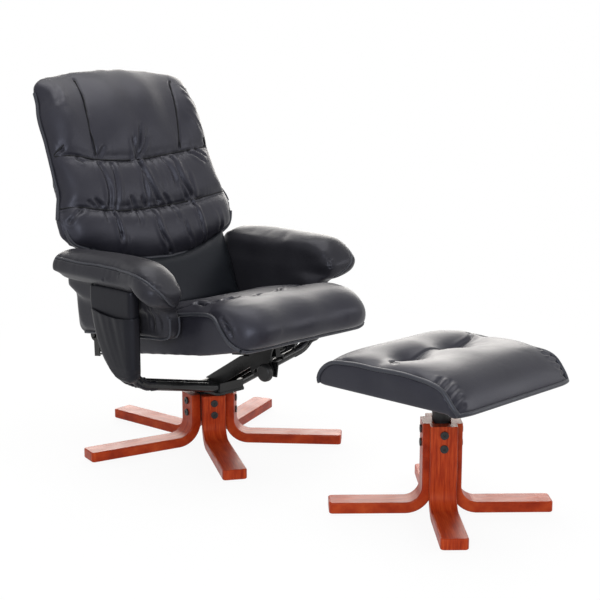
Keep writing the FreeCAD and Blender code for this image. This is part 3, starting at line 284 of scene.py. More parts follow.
def plump(piece, hold, start_in, cap, ease=5, pressure=4.0):
    """Fills a skin with air: held points stay, the others swell from a slightly smaller shape and are
    eased. A move in the simulation is limited to `cap`."""
    mesh = piece.data
    first = places_of(mesh)
    free = (1 - hold)[:, None]
    put_places(mesh, first - outwards_of(mesh) * start_in * free)
    start = places_of(mesh)
    weigh(piece, "held", hold)
    cloth = piece.modifiers.new("air", "CLOTH")
    cloth.settings.quality = 4
    cloth.settings.mass = 0.3
    cloth.settings.tension_stiffness = 15
    cloth.settings.compression_stiffness = 15
    cloth.settings.shear_stiffness = 5
    cloth.settings.bending_stiffness = 0.5
    cloth.settings.use_pressure = True
    cloth.settings.uniform_pressure_force = pressure
    cloth.settings.effector_weights.gravity = 0
    cloth.settings.vertex_group_mass = "held"
    cloth.collision_settings.use_collision = False
    cloth.point_cache.frame_start = 1
    cloth.point_cache.frame_end = AIR_FRAMES
    for number in range(AIR_FRAMES):
        SCENE.frame_set(number + 1)
    swollen = places_of(finished_mesh(piece))
    piece.modifiers.clear()
    piece.vertex_groups.clear()
    SCENE.frame_set(1)
    move = swollen - start
    far = np.linalg.norm(move, axis=1)
    move *= np.minimum(1, cap / np.maximum(far, 1e-9))[:, None]
    put_places(mesh, start + move)
    return smoothed(piece, ease)


def ease_part(piece, share, rounds):
    """Smooths the part of a skin where the share is above 0."""
    weigh(piece, "eased", share)
    smoothed(piece, rounds, "eased")
    piece.vertex_groups.clear()


def refined(piece):
    fine = piece.modifiers.new("fine", "SUBSURF")
    fine.levels = fine.render_levels = 1
    return settle(piece)


def raise_skin(piece, relief, deepest=0.014, highest=0.006):
    """Moves the skin along its own outward direction by a relief in metres."""
    mesh = piece.data
    put_places(mesh, places_of(mesh) + outwards_of(mesh) * np.clip(relief, -deepest, highest)[:, None])
    shade_smooth(mesh)


def mirror_copy(piece, name):
    """Mirror image of a piece in the chair's middle plane."""
    shell = bmesh.new()
    shell.from_mesh(piece.data)
    for v in shell.verts:
        v.co.x = -v.co.x
    bmesh.ops.reverse_faces(shell, faces=shell.faces)
    return built(name, shell)


# Materials

class Finish:
    """Short way to write a node material."""

    def __init__(self, name):
        self.material = bpy.data.materials.new(name)
        self.material.use_nodes = True
        self.tree = self.material.node_tree
        self.shader = self.tree.nodes["Principled BSDF"]

    def node(self, kind, settings=(), **inputs):
        node = self.tree.nodes.new(kind)
        for key, value in dict(settings).items():
            setattr(node, key, value)
        for key, value in inputs.items():
            self.feed(node.inputs[key.replace("_", " ")], value)
        return node

    def feed(self, socket, value):
        if isinstance(value, bpy.types.NodeSocket):
            self.tree.links.new(value, socket)
        else:
            socket.default_value = value

    def set(self, **inputs):
        for key, value in inputs.items():
            self.feed(self.shader.inputs[key.replace("_", " ")], value)
        return self

    def places(self, **mapping):
        coords = self.node("ShaderNodeTexCoord").outputs["Object"]
        if not mapping:
            return coords
        return self.node("ShaderNodeMapping", Vector=coords, **mapping).outputs["Vector"]

    def noise(self, places, scale, detail=3.0, roughness=0.5):
        return self.node("ShaderNodeTexNoise", Vector=places, Scale=scale, Detail=detail,
                         Roughness=roughness).outputs["Fac"]

    def spread(self, value, low, high, start=0.3, end=0.7):
        """A value from start to end laid over low to high."""
        node = self.node("ShaderNodeMapRange", Value=value, From_Min=start, From_Max=end, To_Min=low,
                         To_Max=high)
        return node.outputs["Result"]

    def ramp(self, value, *stops):
        node = self.node("ShaderNodeValToRGB", Fac=value)
        ramp = node.color_ramp
        while len(ramp.elements) < len(stops):
            ramp.elements.new(0.5)
        for element, (place, colour) in zip(ramp.elements, stops):
            element.position = place
            element.color = (*colour, 1)
        return node.outputs["Color"]

    def bump(self, height, strength, distance, under=None):
        node = self.node("ShaderNodeBump", Height=height, Strength=strength, Distance=distance)
        if under is not None:
            self.feed(node.inputs["Normal"], under)
        return node.outputs["Normal"]


def leather(name, dark, light, gloss, shine=0.3):
    """Black bonded leather: pebbled grain, faint creases and an uneven sheen."""
    finish = Finish(name)
    places = finish.places()
    pebbles = finish.node("ShaderNodeTexVoronoi", {"feature": "SMOOTH_F1"}, Vector=places, Scale=520.0,
                          Smoothness=0.6).outputs["Distance"]
    creases = finish.noise(places, 70.0, 5.0, 0.6)
    wear = finish.noise(places, 9.0, 3.0)
    normal = finish.bump(creases, 0.10, 0.003)
    normal = finish.bump(pebbles, 0.22, 0.0006, normal)
    finish.set(Base_Color=finish.ramp(wear, (0.3, dark), (0.72, light)),
               Roughness=finish.spread(wear, gloss - 0.04, gloss + 0.06), Normal=normal)
    finish.set(Specular_IOR_Level=shine, Specular_Tint=(0.86, 0.87, 1, 1))
    return finish.material


def cherry(name, axis_y, angle):
    """Cherry-stained bentwood under clear lacquer, its grain along the leg that points at `angle`."""
    finish = Finish(name)
    turn = -math.radians(angle)
    shift = (axis_y * math.sin(turn), -axis_y * math.cos(turn), 0)
    leg = finish.places(Rotation=(0, 0, turn), Location=shift)
    along = finish.node("ShaderNodeMapping", Vector=leg, Scale=(5, 75, 5)).outputs["Vector"]
    streaks = finish.noise(along, 3.0, 5.0, 0.62)
    fine = finish.node("ShaderNodeMapping", Vector=leg, Scale=(14, 420, 14)).outputs["Vector"]
    pores = finish.noise(fine, 2.0, 2.0)
    cloud = finish.noise(leg, 14.0, 2.0)
    tone = finish.node("ShaderNodeMath", {"operation": "MULTIPLY_ADD"})
    finish.feed(tone.inputs[0], pores)
    finish.feed(tone.inputs[1], 0.18)
    finish.feed(tone.inputs[2], streaks)
    stain = finish.ramp(tone.outputs[0], (0.4, (0.24, 0.016, 0.004)), (0.58, (0.38, 0.036, 0.008)),
                        (0.78, (0.50, 0.070, 0.016)))
    finish.set(Base_Color=stain, Roughness=finish.spread(cloud, 0.3, 0.42),
               Normal=finish.bump(pores, 0.05, 0.0004))
    finish.set(Specular_IOR_Level=0.2, Specular_Tint=(1, 0.8, 0.6, 1))
    return finish.material


def painted(name, colour, gloss, fleck=240.0, strength=0.12):
    """Paint or moulded plastic with a fine skin and slight unevenness."""
    finish = Finish(name)
    places = finish.places()
    orange_peel = finish.noise(places, fleck, 2.0)
    wear = finish.noise(places, 16.0, 4.0)
    bright = tuple(c * 1.7 + 0.004 for c in colour)
    finish.set(Base_Color=finish.ramp(wear, (0.35, colour), (0.75, bright)),
               Roughness=finish.spread(wear, gloss - 0.06, gloss + 0.08),
               Specular_IOR_Level=0.3, Normal=finish.bump(orange_peel, strength, 0.0006))
    return finish.material


def metal(name, colour, gloss):
    finish = Finish(name)
    places = finish.places(Scale=(30, 30, 900))
    brush = finish.noise(places, 2.0, 3.0)
    finish.set(Base_Color=finish.ramp(brush, (0.3, tuple(c * 0.8 for c in colour)), (0.7, colour)),
               Roughness=finish.spread(brush, gloss - 0.05, gloss + 0.1), Metallic=1.0,
               Normal=finish.bump(brush, 0.05, 0.0003))
    return finish.material


def lining(name, colour):
    """Black non-woven lining under the boards."""
    finish = Finish(name)
    places = finish.places()
    fibres = finish.noise(places, 420.0, 4.0, 0.7)
    finish.set(Base_Color=finish.ramp(fibres, (0.3, colour), (0.7, tuple(c * 2 for c in colour))),
               Roughness=0.9, Normal=finish.bump(fibres, 0.4, 0.0006))
    return finish.material


LEATHER = leather("black_leather", (0.0145, 0.014, 0.019), (0.0215, 0.021, 0.027), 0.39)
LEATHER_ARM = leather("arm_leather", (0.016, 0.0155, 0.0185), (0.023, 0.0225, 0.026), 0.38, 0.22)
# Darker copy of the black leather for the sleeves and the pocket, as painted shade.
LEATHER_SLEEVE_PAINTED_SHADE = leather("sleeve_leather", (0.006, 0.006, 0.008), (0.009, 0.009, 0.011), 0.40, 0.18)
# Darker copy of the black leather for the lumbar panel: painted shade for the shadow under the back's
# overhang and between the arms.
LEATHER_LUMBAR_PAINTED_SHADE = leather("lumbar_leather", (0.007, 0.008, 0.010), (0.010, 0.0115, 0.014), 0.38, 0.18)
# Lighter copy of the black leather for the welts: painted highlight where the piping catches the light.
WELT_PAINTED_HIGHLIGHT = leather("welt_leather_painted_highlight", (0.026, 0.027, 0.032), (0.040, 0.041, 0.047), 0.36)
# Very dark cords: dark joints along the seams, and painted shade in the deepest creases of the back.
SEAM_AND_CREASE_SHADE = painted("black_seam_and_crease_shade", (0.003, 0.003, 0.0035), 0.8, 900.0, 0.1)
THREAD = painted("black_thread", (0.022, 0.022, 0.025), 0.6, 900.0, 0.3)
TUBE_PAINT = painted("black_tube_paint", (0.012, 0.012, 0.012), 0.24)
BRACKET_PAINT = painted("black_bracket_paint", (0.005, 0.005, 0.005), 0.3)
BOLT_BLACK = painted("black_bolts", (0.012, 0.012, 0.012), 0.38)
KNOB_PLASTIC = painted("knob_plastic", (0.010, 0.010, 0.010), 0.42, 500.0, 0.25)
BEARING_PLASTIC = painted("bearing_plastic", (0.030, 0.030, 0.030), 0.5)
PIN_STEEL = metal("pin_steel", (0.55, 0.55, 0.56), 0.3)
HUB_WOOD = painted("stained_hub", (0.026, 0.012, 0.008), 0.5, 90.0, 0.2)
LINING = lining("black_lining", (0.010, 0.010, 0.011))


def clad(nodes, material):
    for node in nodes:
        slots = NODES[node].material_slots
        for slot in slots:
            slot.material = material
        if not slots:
            NODES[node].data.materials.append(material)


def dress_frame():
    for i in range(5):
        clad([f"chair_leg_{i + 1}"], cherry(f"cherry_chair_leg_{i + 1}", CHAIR_Y, 93.8 + 72 * i))
    for i in range(4):
        clad([f"stool_leg_{i + 1}"], cherry(f"cherry_stool_leg_{i + 1}", STOOL_Y, 45.4 + 90 * i))
    clad(["chair_hub", "stool_hub"], HUB_WOOD)
    clad(["chair_leg_bolts", "stool_leg_bolts", "swivel_plate_bolts", "stool_plate_screws"], BOLT_BLACK)
    clad(["chair_foot_glides", "stool_foot_glides", "lock_knob"], KNOB_PLASTIC)
    clad(["chair_flanged_bush", "stool_flanged_bush"], BEARING_PLASTIC)
    clad(["front_cross_tube", "rear_cross_tube", "front_upright_left", "front_upright_right",
          "rear_upright_left", "rear_upright_right", "stool_column"], TUBE_PAINT)
    clad(["chair_spindle", "swivel_plate", "tube_saddle", "seat_support_arm", "seat_rail", "seat_runner",
          "lock_plate", "stool_top_plate", "back_bracket_left", "back_bracket_right",
          "seat_hinge_bracket_left", "seat_hinge_bracket_right"], BRACKET_PAINT)
    clad(["back_pivot_pin_left", "back_pivot_pin_right", "lock_rod"], PIN_STEEL)
    clad(["seat_board", "stool_board", "arm_board_left", "arm_board_right", "back_board"], LINING)


# Welts and stitches

def path_tree(name, sizes):
    """Empty node tree for a piece that follows paths, with named sizes."""
    tree = bpy.data.node_groups.new(name, "GeometryNodeTree")
    tree.interface.new_socket("Geometry", in_out="INPUT", socket_type="NodeSocketGeometry")
    for size in sizes:
        tree.interface.new_socket(size, in_out="INPUT", socket_type="NodeSocketFloat")
    tree.interface.new_socket("Finish", in_out="INPUT", socket_type="NodeSocketMaterial")
    tree.interface.new_socket("Geometry", in_out="OUTPUT", socket_type="NodeSocketGeometry")
    given, made = tree.nodes.new("NodeGroupInput"), tree.nodes.new("NodeGroupOutput")
    realized = tree.nodes.new("GeometryNodeRealizeInstances")
    smooth = tree.nodes.new("GeometryNodeSetShadeSmooth")
    finish = tree.nodes.new("GeometryNodeSetMaterial")
    tree.links.new(realized.outputs["Geometry"], smooth.inputs["Geometry"])
    tree.links.new(smooth.outputs["Geometry"], finish.inputs["Geometry"])
    tree.links.new(given.outputs["Finish"], finish.inputs["Material"])
    tree.links.new(finish.outputs["Geometry"], made.inputs["Geometry"])
    return tree, given, realized


def welt_tree():
    tree, given, realized = path_tree("welt_cord", ["Radius"])
    ring = tree.nodes.new("GeometryNodeCurvePrimitiveCircle")
    ring.inputs["Resolution"].default_value = 10
    cord = tree.nodes.new("GeometryNodeCurveToMesh")
    cord.inputs["Fill Caps"].default_value = True
    tree.links.new(given.outputs["Radius"], ring.inputs["Radius"])
    tree.links.new(given.outputs["Geometry"], cord.inputs["Curve"])
    tree.links.new(ring.outputs["Curve"], cord.inputs["Profile Curve"])
    tree.links.new(cord.outputs["Mesh"], realized.inputs["Geometry"])
    return tree


def stitch_tree():
    tree, given, realized = path_tree("stitch_row", ["Pitch", "Length", "Thread"])
    evenly = tree.nodes.new("GeometryNodeResampleCurve")
    evenly.mode = "LENGTH"
    stitch = tree.nodes.new("GeometryNodeMeshCylinder")
    stitch.inputs["Vertices"].default_value = 6
    tangent = tree.nodes.new("GeometryNodeInputTangent")
    turn = tree.nodes.new("FunctionNodeAlignRotationToVector")
    turn.axis = "Z"
    place = tree.nodes.new("GeometryNodeInstanceOnPoints")
    tree.links.new(given.outputs["Geometry"], evenly.inputs["Curve"])
    tree.links.new(given.outputs["Pitch"], evenly.inputs["Length"])
    tree.links.new(given.outputs["Length"], stitch.inputs["Depth"])
    tree.links.new(given.outputs["Thread"], stitch.inputs["Radius"])
    tree.links.new(tangent.outputs["Tangent"], turn.inputs["Vector"])
    tree.links.new(evenly.outputs["Curve"], place.inputs["Points"])
    tree.links.new(stitch.outputs["Mesh"], place.inputs["Instance"])
    tree.links.new(turn.outputs["Rotation"], place.inputs["Rotation"])
    tree.links.new(place.outputs["Instances"], realized.inputs["Geometry"])
    return tree


WELT_TREE, STITCH_TREE = welt_tree(), stitch_tree()
STITCH_PITCH, STITCH_LENGTH = 0.0062, 0.0044


def along_paths(name, tree, lines, body, **inputs):
    """One plain mesh of welts or stitches along several lines, riding on a body."""
    curve = bpy.data.curves.new(name, "CURVE")
    curve.dimensions = "3D"
    for line in lines:
        spline = curve.splines.new("POLY")
        spline.points.add(len(line) - 1)
        spline.points.foreach_set("co", np.hstack([line, np.ones((len(line), 1))]).ravel())
    guide = linked(name + "_guide", curve)
    maker = guide.modifiers.new("maker", "NODES")
    maker.node_group = tree
    for item in tree.interface.items_tree:
        if item.in_out == "INPUT" and item.name in inputs:
            maker[item.identifier] = inputs[item.name]
    mesh = finished_mesh(guide)
    mesh.name = name
    bpy.data.objects.remove(guide)
    bpy.data.curves.remove(curve)
    piece = linked(name, mesh)
    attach(piece, body)
    return piece


def raised(skin, points, lift):
    """A smooth line `lift` above a surface, nearest to the points, as an array."""
    found = []
    for point in points:
        place, normal, _, _ = skin.find_nearest(point)
        found.append(place + normal * lift)
    line = np.array(found)
    for _ in range(4):
        line[1:-1] = (line[:-2] + 2 * line[1:-1] + line[2:]) / 4
    return line


def leathered(piece, body, nodes, material):
    piece.data.materials.clear()
    piece.data.materials.append(material)
    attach(piece, body)
    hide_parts(*nodes)
    return piece


# Back

def back_line(skin, table):
    return eased(laid(skin, [on_back(x, up, 100) for x, up in table], -OUT_OF_BACK))


def back_lines(skin, tables):
    return [back_line(skin, table) for table in tables]


def both_sides(table):
    """A table of places for x from 0 outwards, run through from the one side to the other."""
    return [(-x, up) for x, up in reversed(table)] + list(table[1:])


def back_flare(x, up):
    """How far the leather stands out sideways from the CAD edge, at the low corners and the head's ears."""
    flare = 16 * soft_step((270 - up) / 90) * soft_step((up - 80) / 50) + 8 * np.exp(-((up - 572) / 26) ** 2)
    flare -= 6 * np.exp(-((up - 515) / 30) ** 2)
    return np.sign(x) * flare * soft_step((np.abs(x) - 190) / 70) / 1000


def make_back_cushion():
    """The cushion's skin, and the lines of its upright seams."""
    cushion = skin_blank("back_cushion_leather", ["back_cushion"], BACK_VOXEL)
    skin = surface(cushion.data)
    seams, uprights = back_lines(skin, CROSS_SEAMS), back_lines(skin, UPRIGHT_SEAMS)
    places = places_of(cushion.data)
    x, up, forward = back_measures(places)
    places[:, 0] += back_flare(x, up)
    put_places(cushion.data, places)
    fuller = sum(0.006 * np.exp(-(line_reach(places, seam)[0] / 0.03) ** 2) for seam in seams)
    raise_skin(cushion, fuller, highest=0.01)
    places = places_of(cushion.data)
    seams = back_lines(surface(cushion.data), CROSS_SEAMS)
    hold = held_along(places, seams + uprights, 0.0035) * soft_step((590 - up) / 30)
    hold = np.maximum(hold, soft_step((10 - forward) / 6))
    plump(cushion, hold, 0.003, 0.024, 12)
    _, up, _ = back_measures(places_of(cushion.data))
    ease_part(cushion, soft_step((up - 548) / 35), 40)
    x, up, _ = back_measures(places_of(cushion.data))
    seam_ends = soft_step((np.abs(x) - 225) / 25) * soft_step((up - 300) / 20) * soft_step((450 - up) / 40)
    ease_part(cushion, seam_ends, 24)
    refined(cushion)
    skin = surface(cushion.data)
    seams, uprights = back_lines(skin, CROSS_SEAMS), back_lines(skin, UPRIGHT_SEAMS)
    low_edge = back_line(skin, [(x * 0.97, up + 8) for x, up in both_sides(SMILE)])
    places = places_of(cushion.data)
    x, _, forward = back_measures(places)
    relief = np.zeros(len(places))
    seam_depth = 0.4 + 0.6 * soft_step((276 - np.abs(x)) / 26)
    for seam in seams:
        relief += seam_relief(places, seam, 0.005, 0.0042) * seam_depth
        relief += seam_relief(places, seam, 0.005, 0.017) * seam_depth
        relief += pucker_relief(places, seam, 0.0006, 0.02, 0.03, 0.6)
    for upright in uprights:
        relief += seam_relief(places, upright, 0.004, 0.0038) + seam_relief(places, upright, 0.002, 0.014)
    for depth, width, *table in BACK_FOLDS:
        relief += fold_relief(places, back_line(skin, table), depth * FOLD_DEPTH, width * FOLD_WIDTH,
                              seams + [low_edge])
    raise_skin(cushion, relief * (forward > 6))
    return leathered(cushion, "back", ["back_cushion"], LEATHER), uprights


def at_low_edge(up):
    """1 at the lower edge of a panel, easing to 0 above it."""
    return soft_step((up.min() + EDGE_REACH - up) / EDGE_REACH)


def make_lumbar():
    """Lumbar panel, drawn out upwards behind the cushion and down towards the seat."""
    lumbar = skin_blank("lumbar_leather", ["lumbar_panel"], BACK_VOXEL)
    places = places_of(lumbar.data)
    x, up, forward = back_measures(places)
    top = np.interp(np.abs(x), *zip(*SMILE))
    lift = (soft_step((up - top + EDGE_REACH) / EDGE_REACH) - at_low_edge(up)) * LUMBAR_LIFT
    places[:, 0] *= LUMBAR_WIDER
    put_places(lumbar.data, places + lift[:, None] * UP_BACK)
    plump(lumbar, soft_step((14 - forward) / 8), 0.0, 0.008)
    refined(lumbar)
    raise_skin(lumbar, np.zeros(len(lumbar.data.vertices)))
    leathered(lumbar, "back", ["lumbar_panel"], LEATHER_LUMBAR_PAINTED_SHADE)


def make_back_cover():
    covered = ["back_board", "back_cover", "back_cover_lower"]
    cover = skin_blank("back_cover_leather", covered, BACK_VOXEL)
    places = places_of(cover.data)
    x, up, forward = back_measures(places)
    places[:, 0] += back_flare(x, up)
    put_places(cover.data, places - (at_low_edge(up) * COVER_DROP)[:, None] * UP_BACK)
    plump(cover, soft_step((forward + 22) / 8), 0.003, 0.010)
    refined(cover)
    raise_skin(cover, np.zeros(len(cover.data.vertices)))
    return leathered(cover, "back", covered, LEATHER)


def make_back_trim(cushion, uprights, cover):
    """Welts, seam cords, crease cords of painted shade and stitches of the back."""
    skin = surface(cushion.data)
    rims = [[on_back(side * x * 1.03, up, 9) for x, up in HEAD_LINE if up < 560] for side in (-1, 1)]
    edge = [on_back(x, up - 1, 30 * (1 - abs(x) / 300) + 12) for x, up in both_sides(SMILE)]
    rear_rim = [on_back(x * 0.97, up - 10, -18) for x, up in both_sides(HEAD_LINE)]
    lines = [raised(skin, eased(line), WELT_LIFT) for line in rims + [edge]]
    lines.append(raised(surface(cover.data), eased(rear_rim), 0.0016))
    along_paths("back_welts", WELT_TREE, lines, "back", Radius=0.0048, Finish=WELT_PAINTED_HIGHLIGHT)
    seam_lines = back_lines(skin, CROSS_SEAMS) + uprights
    along_paths("back_seams", WELT_TREE, [raised(skin, line, 0.0004) for line in seam_lines], "back",
                Radius=0.0017, Finish=SEAM_AND_CREASE_SHADE)
    # Very dark cords in the deepest folds: painted shade in the creases.
    crease_shade_cords = [back_line(skin, table)[3:-3] for depth, _, *table in BACK_FOLDS if depth == SLIT]
    along_paths("back_pleat_shade_cords", WELT_TREE, [raised(skin, line, -0.0002) for line in crease_shade_cords], "back",
                Radius=0.0013, Finish=SEAM_AND_CREASE_SHADE)
    below = [[(x, up - 9) for x, up in seam] for seam in CROSS_SEAMS]
    rows = [raised(skin, line, 0.0002) for line in back_lines(skin, below)]
    rows += [raised(skin, upright, 0.0003) for upright in uprights]
    along_paths("back_stitches", STITCH_TREE, rows, "back", Pitch=STITCH_PITCH, Length=STITCH_LENGTH,
                Thread=0.00055, Finish=THREAD)


# Seat

SEAT_SIDE_RIM = [(190, 322), (88, 347), (-40, 381), (-141, 402), (-212, 413), (-251, 415), (-277, 408),
                 (-293, 393), (-313, 371), (-333, 356), (-357, 344)]
SEAT_GATHER = [(-214, -90), (-198, -117), (-181, -164), (-154, -227), (-113, -247), (-42, -247), (49, -229),
               (132, -201), (190, -165), (212, -120)]
SEAT_SLITS = [((-175, -152), (-192, -209)), ((-145, -222), (-132, -235)), ((-98, -204), (-125, -259)),
              ((-47, -241), (-27, -252)), ((87, -180), (15, -257)), ((117, -172), (55, -244))]
SEAT_RIM_X, SEAT_FRONT_X, SEAT_FRONT_Y, SEAT_FRONT_Z, SEAT_FRONT_BOW = 222, 219, -357, 343, 7
SEAT_BOARD_TILT = math.tan(math.radians(8))
SEAT_NOSE_FOLDS = [((-222, -298, 411), (-222, -324, 390)), ((-222, -312, 402), (-222, -334, 378)),
                   ((-222, -322, 392), (-220, -342, 370)), ((-222, -333, 378), (-218, -350, 362))]


def from_above(skin, table):
    """Smooth line on the top of a cushion."""
    return eased(laid(skin, [at(x, y, 600) for x, y in table], -UP))


def short_fold(skin, ends, side):
    """Smooth line on a skin near the ends, which are mirrored where side is -1."""
    return eased(laid(skin, [at(x * side, y, z) for x, y, z in ends]), 0.003)


def make_seat():
    cushion = skin_blank("seat_cushion_leather", ["seat_cushion", "seat_board"], 0.0064)
    places = places_of(cushion.data)
    x, y, z = chair_measures(places)
    downwards = outwards_of(cushion.data)[:, 2]
    hold = np.maximum(soft_step((-downwards - 0.3) / 0.3), soft_step((y - 186) / 10))
    nose = soft_step((-y - 225) / 60) * soft_step((z - 338) / 20)
    raise_skin(cushion, 0.011 * nose * soft_step((222 - np.abs(x)) / 18 + 0.35), highest=0.011)
    places = places_of(cushion.data)
    gather = from_above(surface(cushion.data), SEAT_GATHER)
    hold = np.maximum(hold, held_along(places, [gather], 0.004) * 0.5)
    plump(cushion, hold, 0.002, 0.022, 10)
    refined(cushion)
    skin = surface(cushion.data)
    places = places_of(cushion.data)
    x, y, z = chair_measures(places)
    gather = from_above(skin, SEAT_GATHER)
    relief = seam_relief(places, gather, 0.006, 0.005)
    relief += pucker_relief(places, gather, 0.0012, 0.03, 0.018, 1.3)
    for slit in SEAT_SLITS:
        relief += fold_relief(places, from_above(skin, slit), 0.008, 0.005, [gather])
    for side in (1, -1):
        for first, last in SEAT_NOSE_FOLDS:
            ends = [at(first[0] * side, *first[1:]), at((last[0] + 40) * side, *last[1:])]
            line = eased(laid(skin, ends))
            relief += fold_relief(places, line, 0.006, 0.0045, [line[:2]])
    board = (np.abs(x) < 201) & (y > -206) & (y < 191) & (z < 277 - y * SEAT_BOARD_TILT + 8)
    raise_skin(cushion, np.where(board, -0.003, relief))
    leathered(cushion, "seat", ["seat_cushion"], LEATHER)
    skin = surface(cushion.data)
    rims = [[at(side * SEAT_RIM_X, y, z) for y, z in SEAT_SIDE_RIM] for side in (-1, 1)]
    front = []
    for x in range(-SEAT_FRONT_X, SEAT_FRONT_X + 1, 73):
        bow = SEAT_FRONT_BOW * math.cos(x / SEAT_FRONT_X * math.pi / 2)
        front.append(at(x, SEAT_FRONT_Y - bow, SEAT_FRONT_Z))
    lines = [raised(skin, eased(line), WELT_LIFT) for line in rims + [front]]
    along_paths("seat_welts", WELT_TREE, lines, "seat", Radius=0.0052, Finish=WELT_PAINTED_HIGHLIGHT)


# Arms

ARM_OUTER_SEAM = [(354, 184, 525), (357, 88, 525), (356, 10, 527), (357, -68, 524), (357, -134, 517),
                  (352, -172, 502), (339, -201, 478), (302, -205, 445), (287, -198, 438)]
ARM_INSIDE = [(-196, 440), (-206, 470), (-176, 522), (-120, 534), (206, 536), (223, 522), (226, 440),
              (150, 416), (-160, 416)]
ARM_PANEL_RIM = [(178, 312), (20, 326), (-148, 341), (-172, 350), (-178, 371), (-178, 406)]
ARM_PANEL_FACES = (283, 245)
ARM_PANEL_FOLDS = [(-112, 2), (-126, -1), (-139, 3), (-151, 1), (-164, 2)]
ARM_PUCKERS = [((348, -181, 500), (349, -186, 489)), ((343, -192, 492), (336, -201, 483)),
               ((352, -160, 512), (353, -168, 505)), ((360, -14, 498), (360, -18, 487)),
               ((359, -71, 517), (360, -79, 512))]
ARM_TUCKS = [((268, -196, 498), (258, -202, 490)), ((266, -199, 487), (256, -202, 478)),
             ((264, -200, 472), (254, -201, 462))]


def make_arms():
    inside = [at(x + max(0, z - 500) * 0.25 * (x < 250), y, z) for x in (244.5, 300) for y, z in ARM_INSIDE]
    left = skin_blank("arm_leather_left", ["arm_pad_left", "arm_board_left", "arm_panel_left"], 0.0058, 6,
                      [inside])
    places = places_of(left.data)
    _, y, z = chair_measures(places)
    places[:, 0] += 0.014 * soft_step((-y - 40) / 140) * soft_step((z - 425) / 25)
    places[:, 2] -= 0.008 * soft_step((-y - 110) / 90) * soft_step((z - 470) / 40)
    put_places(left.data, places)
    plump(left, np.zeros(len(left.data.vertices)), 0.0005, 0.006, 14)
    refined(left)
    right = mirror_copy(left, "arm_leather_right")
    for piece, side, name in ((left, 1, "left"), (right, -1, "right")):
        skin = surface(piece.data)
        places = places_of(piece.data)
        seam = eased(laid(skin, [at(x * side, y, z) for x, y, z in ARM_OUTER_SEAM]))
        relief = seam_relief(places, seam, 0.0035, 0.0045)
        relief += pucker_relief(places, seam, 0.0007, 0.03, 0.014, 0.4)
        for ends in ARM_PUCKERS + ARM_TUCKS:
            relief += fold_relief(places, short_fold(skin, ends, side), 0.0025, 0.0035)
        for y, lean in ARM_PANEL_FOLDS:
            knots = [(300, y - lean * k, 446 - 30 * k) for k in range(4)]
            relief += fold_relief(places, short_fold(skin, knots, side), 0.004, 0.0045)
        raise_skin(piece, relief)
        covered = [f"arm_{part}_{name}" for part in ("pad", "board", "panel")]
        leathered(piece, "swivel_frame", covered, LEATHER_ARM)
        skin = surface(piece.data)
        rims = [[at(face * side, y, z) for y, z in ARM_PANEL_RIM] for face in ARM_PANEL_FACES]
        lines = [raised(skin, seam, 0.0006)] + [raised(skin, eased(rim), 0.0016) for rim in rims]
        along_paths(f"arm_welts_{name}", WELT_TREE, lines, "swivel_frame", Radius=0.0034, Finish=WELT_PAINTED_HIGHLIGHT)


# Sleeves and pocket

def make_sleeves():
    left = skin_blank("sleeve_leather_left",
                      ["arm_sleeve_left", "front_upright_left", "rear_upright_left"], 0.0040, 10)
    refined(left)
    right = mirror_copy(left, "sleeve_leather_right")
    for piece, name in ((left, "left"), (right, "right")):
        raise_skin(piece, np.full(len(piece.data.vertices), 0.0032))
        leathered(piece, "swivel_frame", [f"arm_sleeve_{name}"], LEATHER_SLEEVE_PAINTED_SHADE)


POCKET_OUTLINE_REAR = [(246, -34), (262, -12), (300, 17), (337, 37), (370, 48), (404, 58)]
POCKET_OUTLINE_FRONT = [(246, -64), (256, -84), (272, -91), (300, -91), (337, -91), (404, -91)]
POCKET_LOW, POCKET_HIGH = 246, 402
POCKET_FACE_X = -343.6
POCKET_WRAP = 24


def make_pocket():
    """Leather pocket on the right sleeve: it wraps round the front edge and bellies at its open top."""
    rows, columns = 48, 44
    rear_z, rear_y = zip(*POCKET_OUTLINE_REAR)
    front_z, front_y = zip(*POCKET_OUTLINE_FRONT)
    shell = bmesh.new()
    grid = []
    for i in range(rows + 1):
        v = i / rows
        row = []
        for j in range(columns + 1):
            u = j / columns
            z = POCKET_LOW + v * (POCKET_HIGH - POCKET_LOW)
            front, rear = np.interp(z, front_z, front_y) - 11, np.interp(z, rear_z, rear_y)
            run = u * (rear - front + POCKET_WRAP) - POCKET_WRAP
            y, round_corner = front + max(run, 0), max(0, -run)
            z += v ** 6 * (3 - 9 * math.sin(math.pi * u) + 5 * u)
            swell = math.sin(math.pi * u) ** 0.6 * (0.3 + 0.7 * v) * min(1, v * 6) * min(1, max(run, 0) / 20)
            gather = math.sin(u * 17 + 2.4 * math.sin(v * 2.6)) + 0.6 * math.sin(u * 39 - 3 * v)
            gather *= math.sin(math.pi * u) * v ** 1.4
            corner = 7 * math.exp(-abs(run) / 6)
            x = POCKET_FACE_X + round_corner + corner * 0.6 - 7.5 * swell - gather * 0.9
            row.append(shell.verts.new(at(x, y + corner * 0.6, z)))
        grid.append(row)
    for i in range(rows):
        for j in range(columns):
            shell.faces.new((grid[i][j], grid[i][j + 1], grid[i + 1][j + 1], grid[i + 1][j]))
    bmesh.ops.recalc_face_normals(shell, faces=shell.faces)
    if sum(face.normal.x for face in shell.faces) > 0:
        bmesh.ops.reverse_faces(shell, faces=shell.faces)
    area = sum(face.calc_area() for face in shell.faces)
    piece = built("side_pocket_leather", shell)
    wall = piece.modifiers.new("wall", "SOLIDIFY")
    wall.thickness = 0.0018
    wall.offset = 0
    settle(piece)
    shade_smooth(piece.data)
    piece.data.materials.append(LEATHER_SLEEVE_PAINTED_SHADE)
    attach(piece, "swivel_frame")
    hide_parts("side_pocket")


# Stool

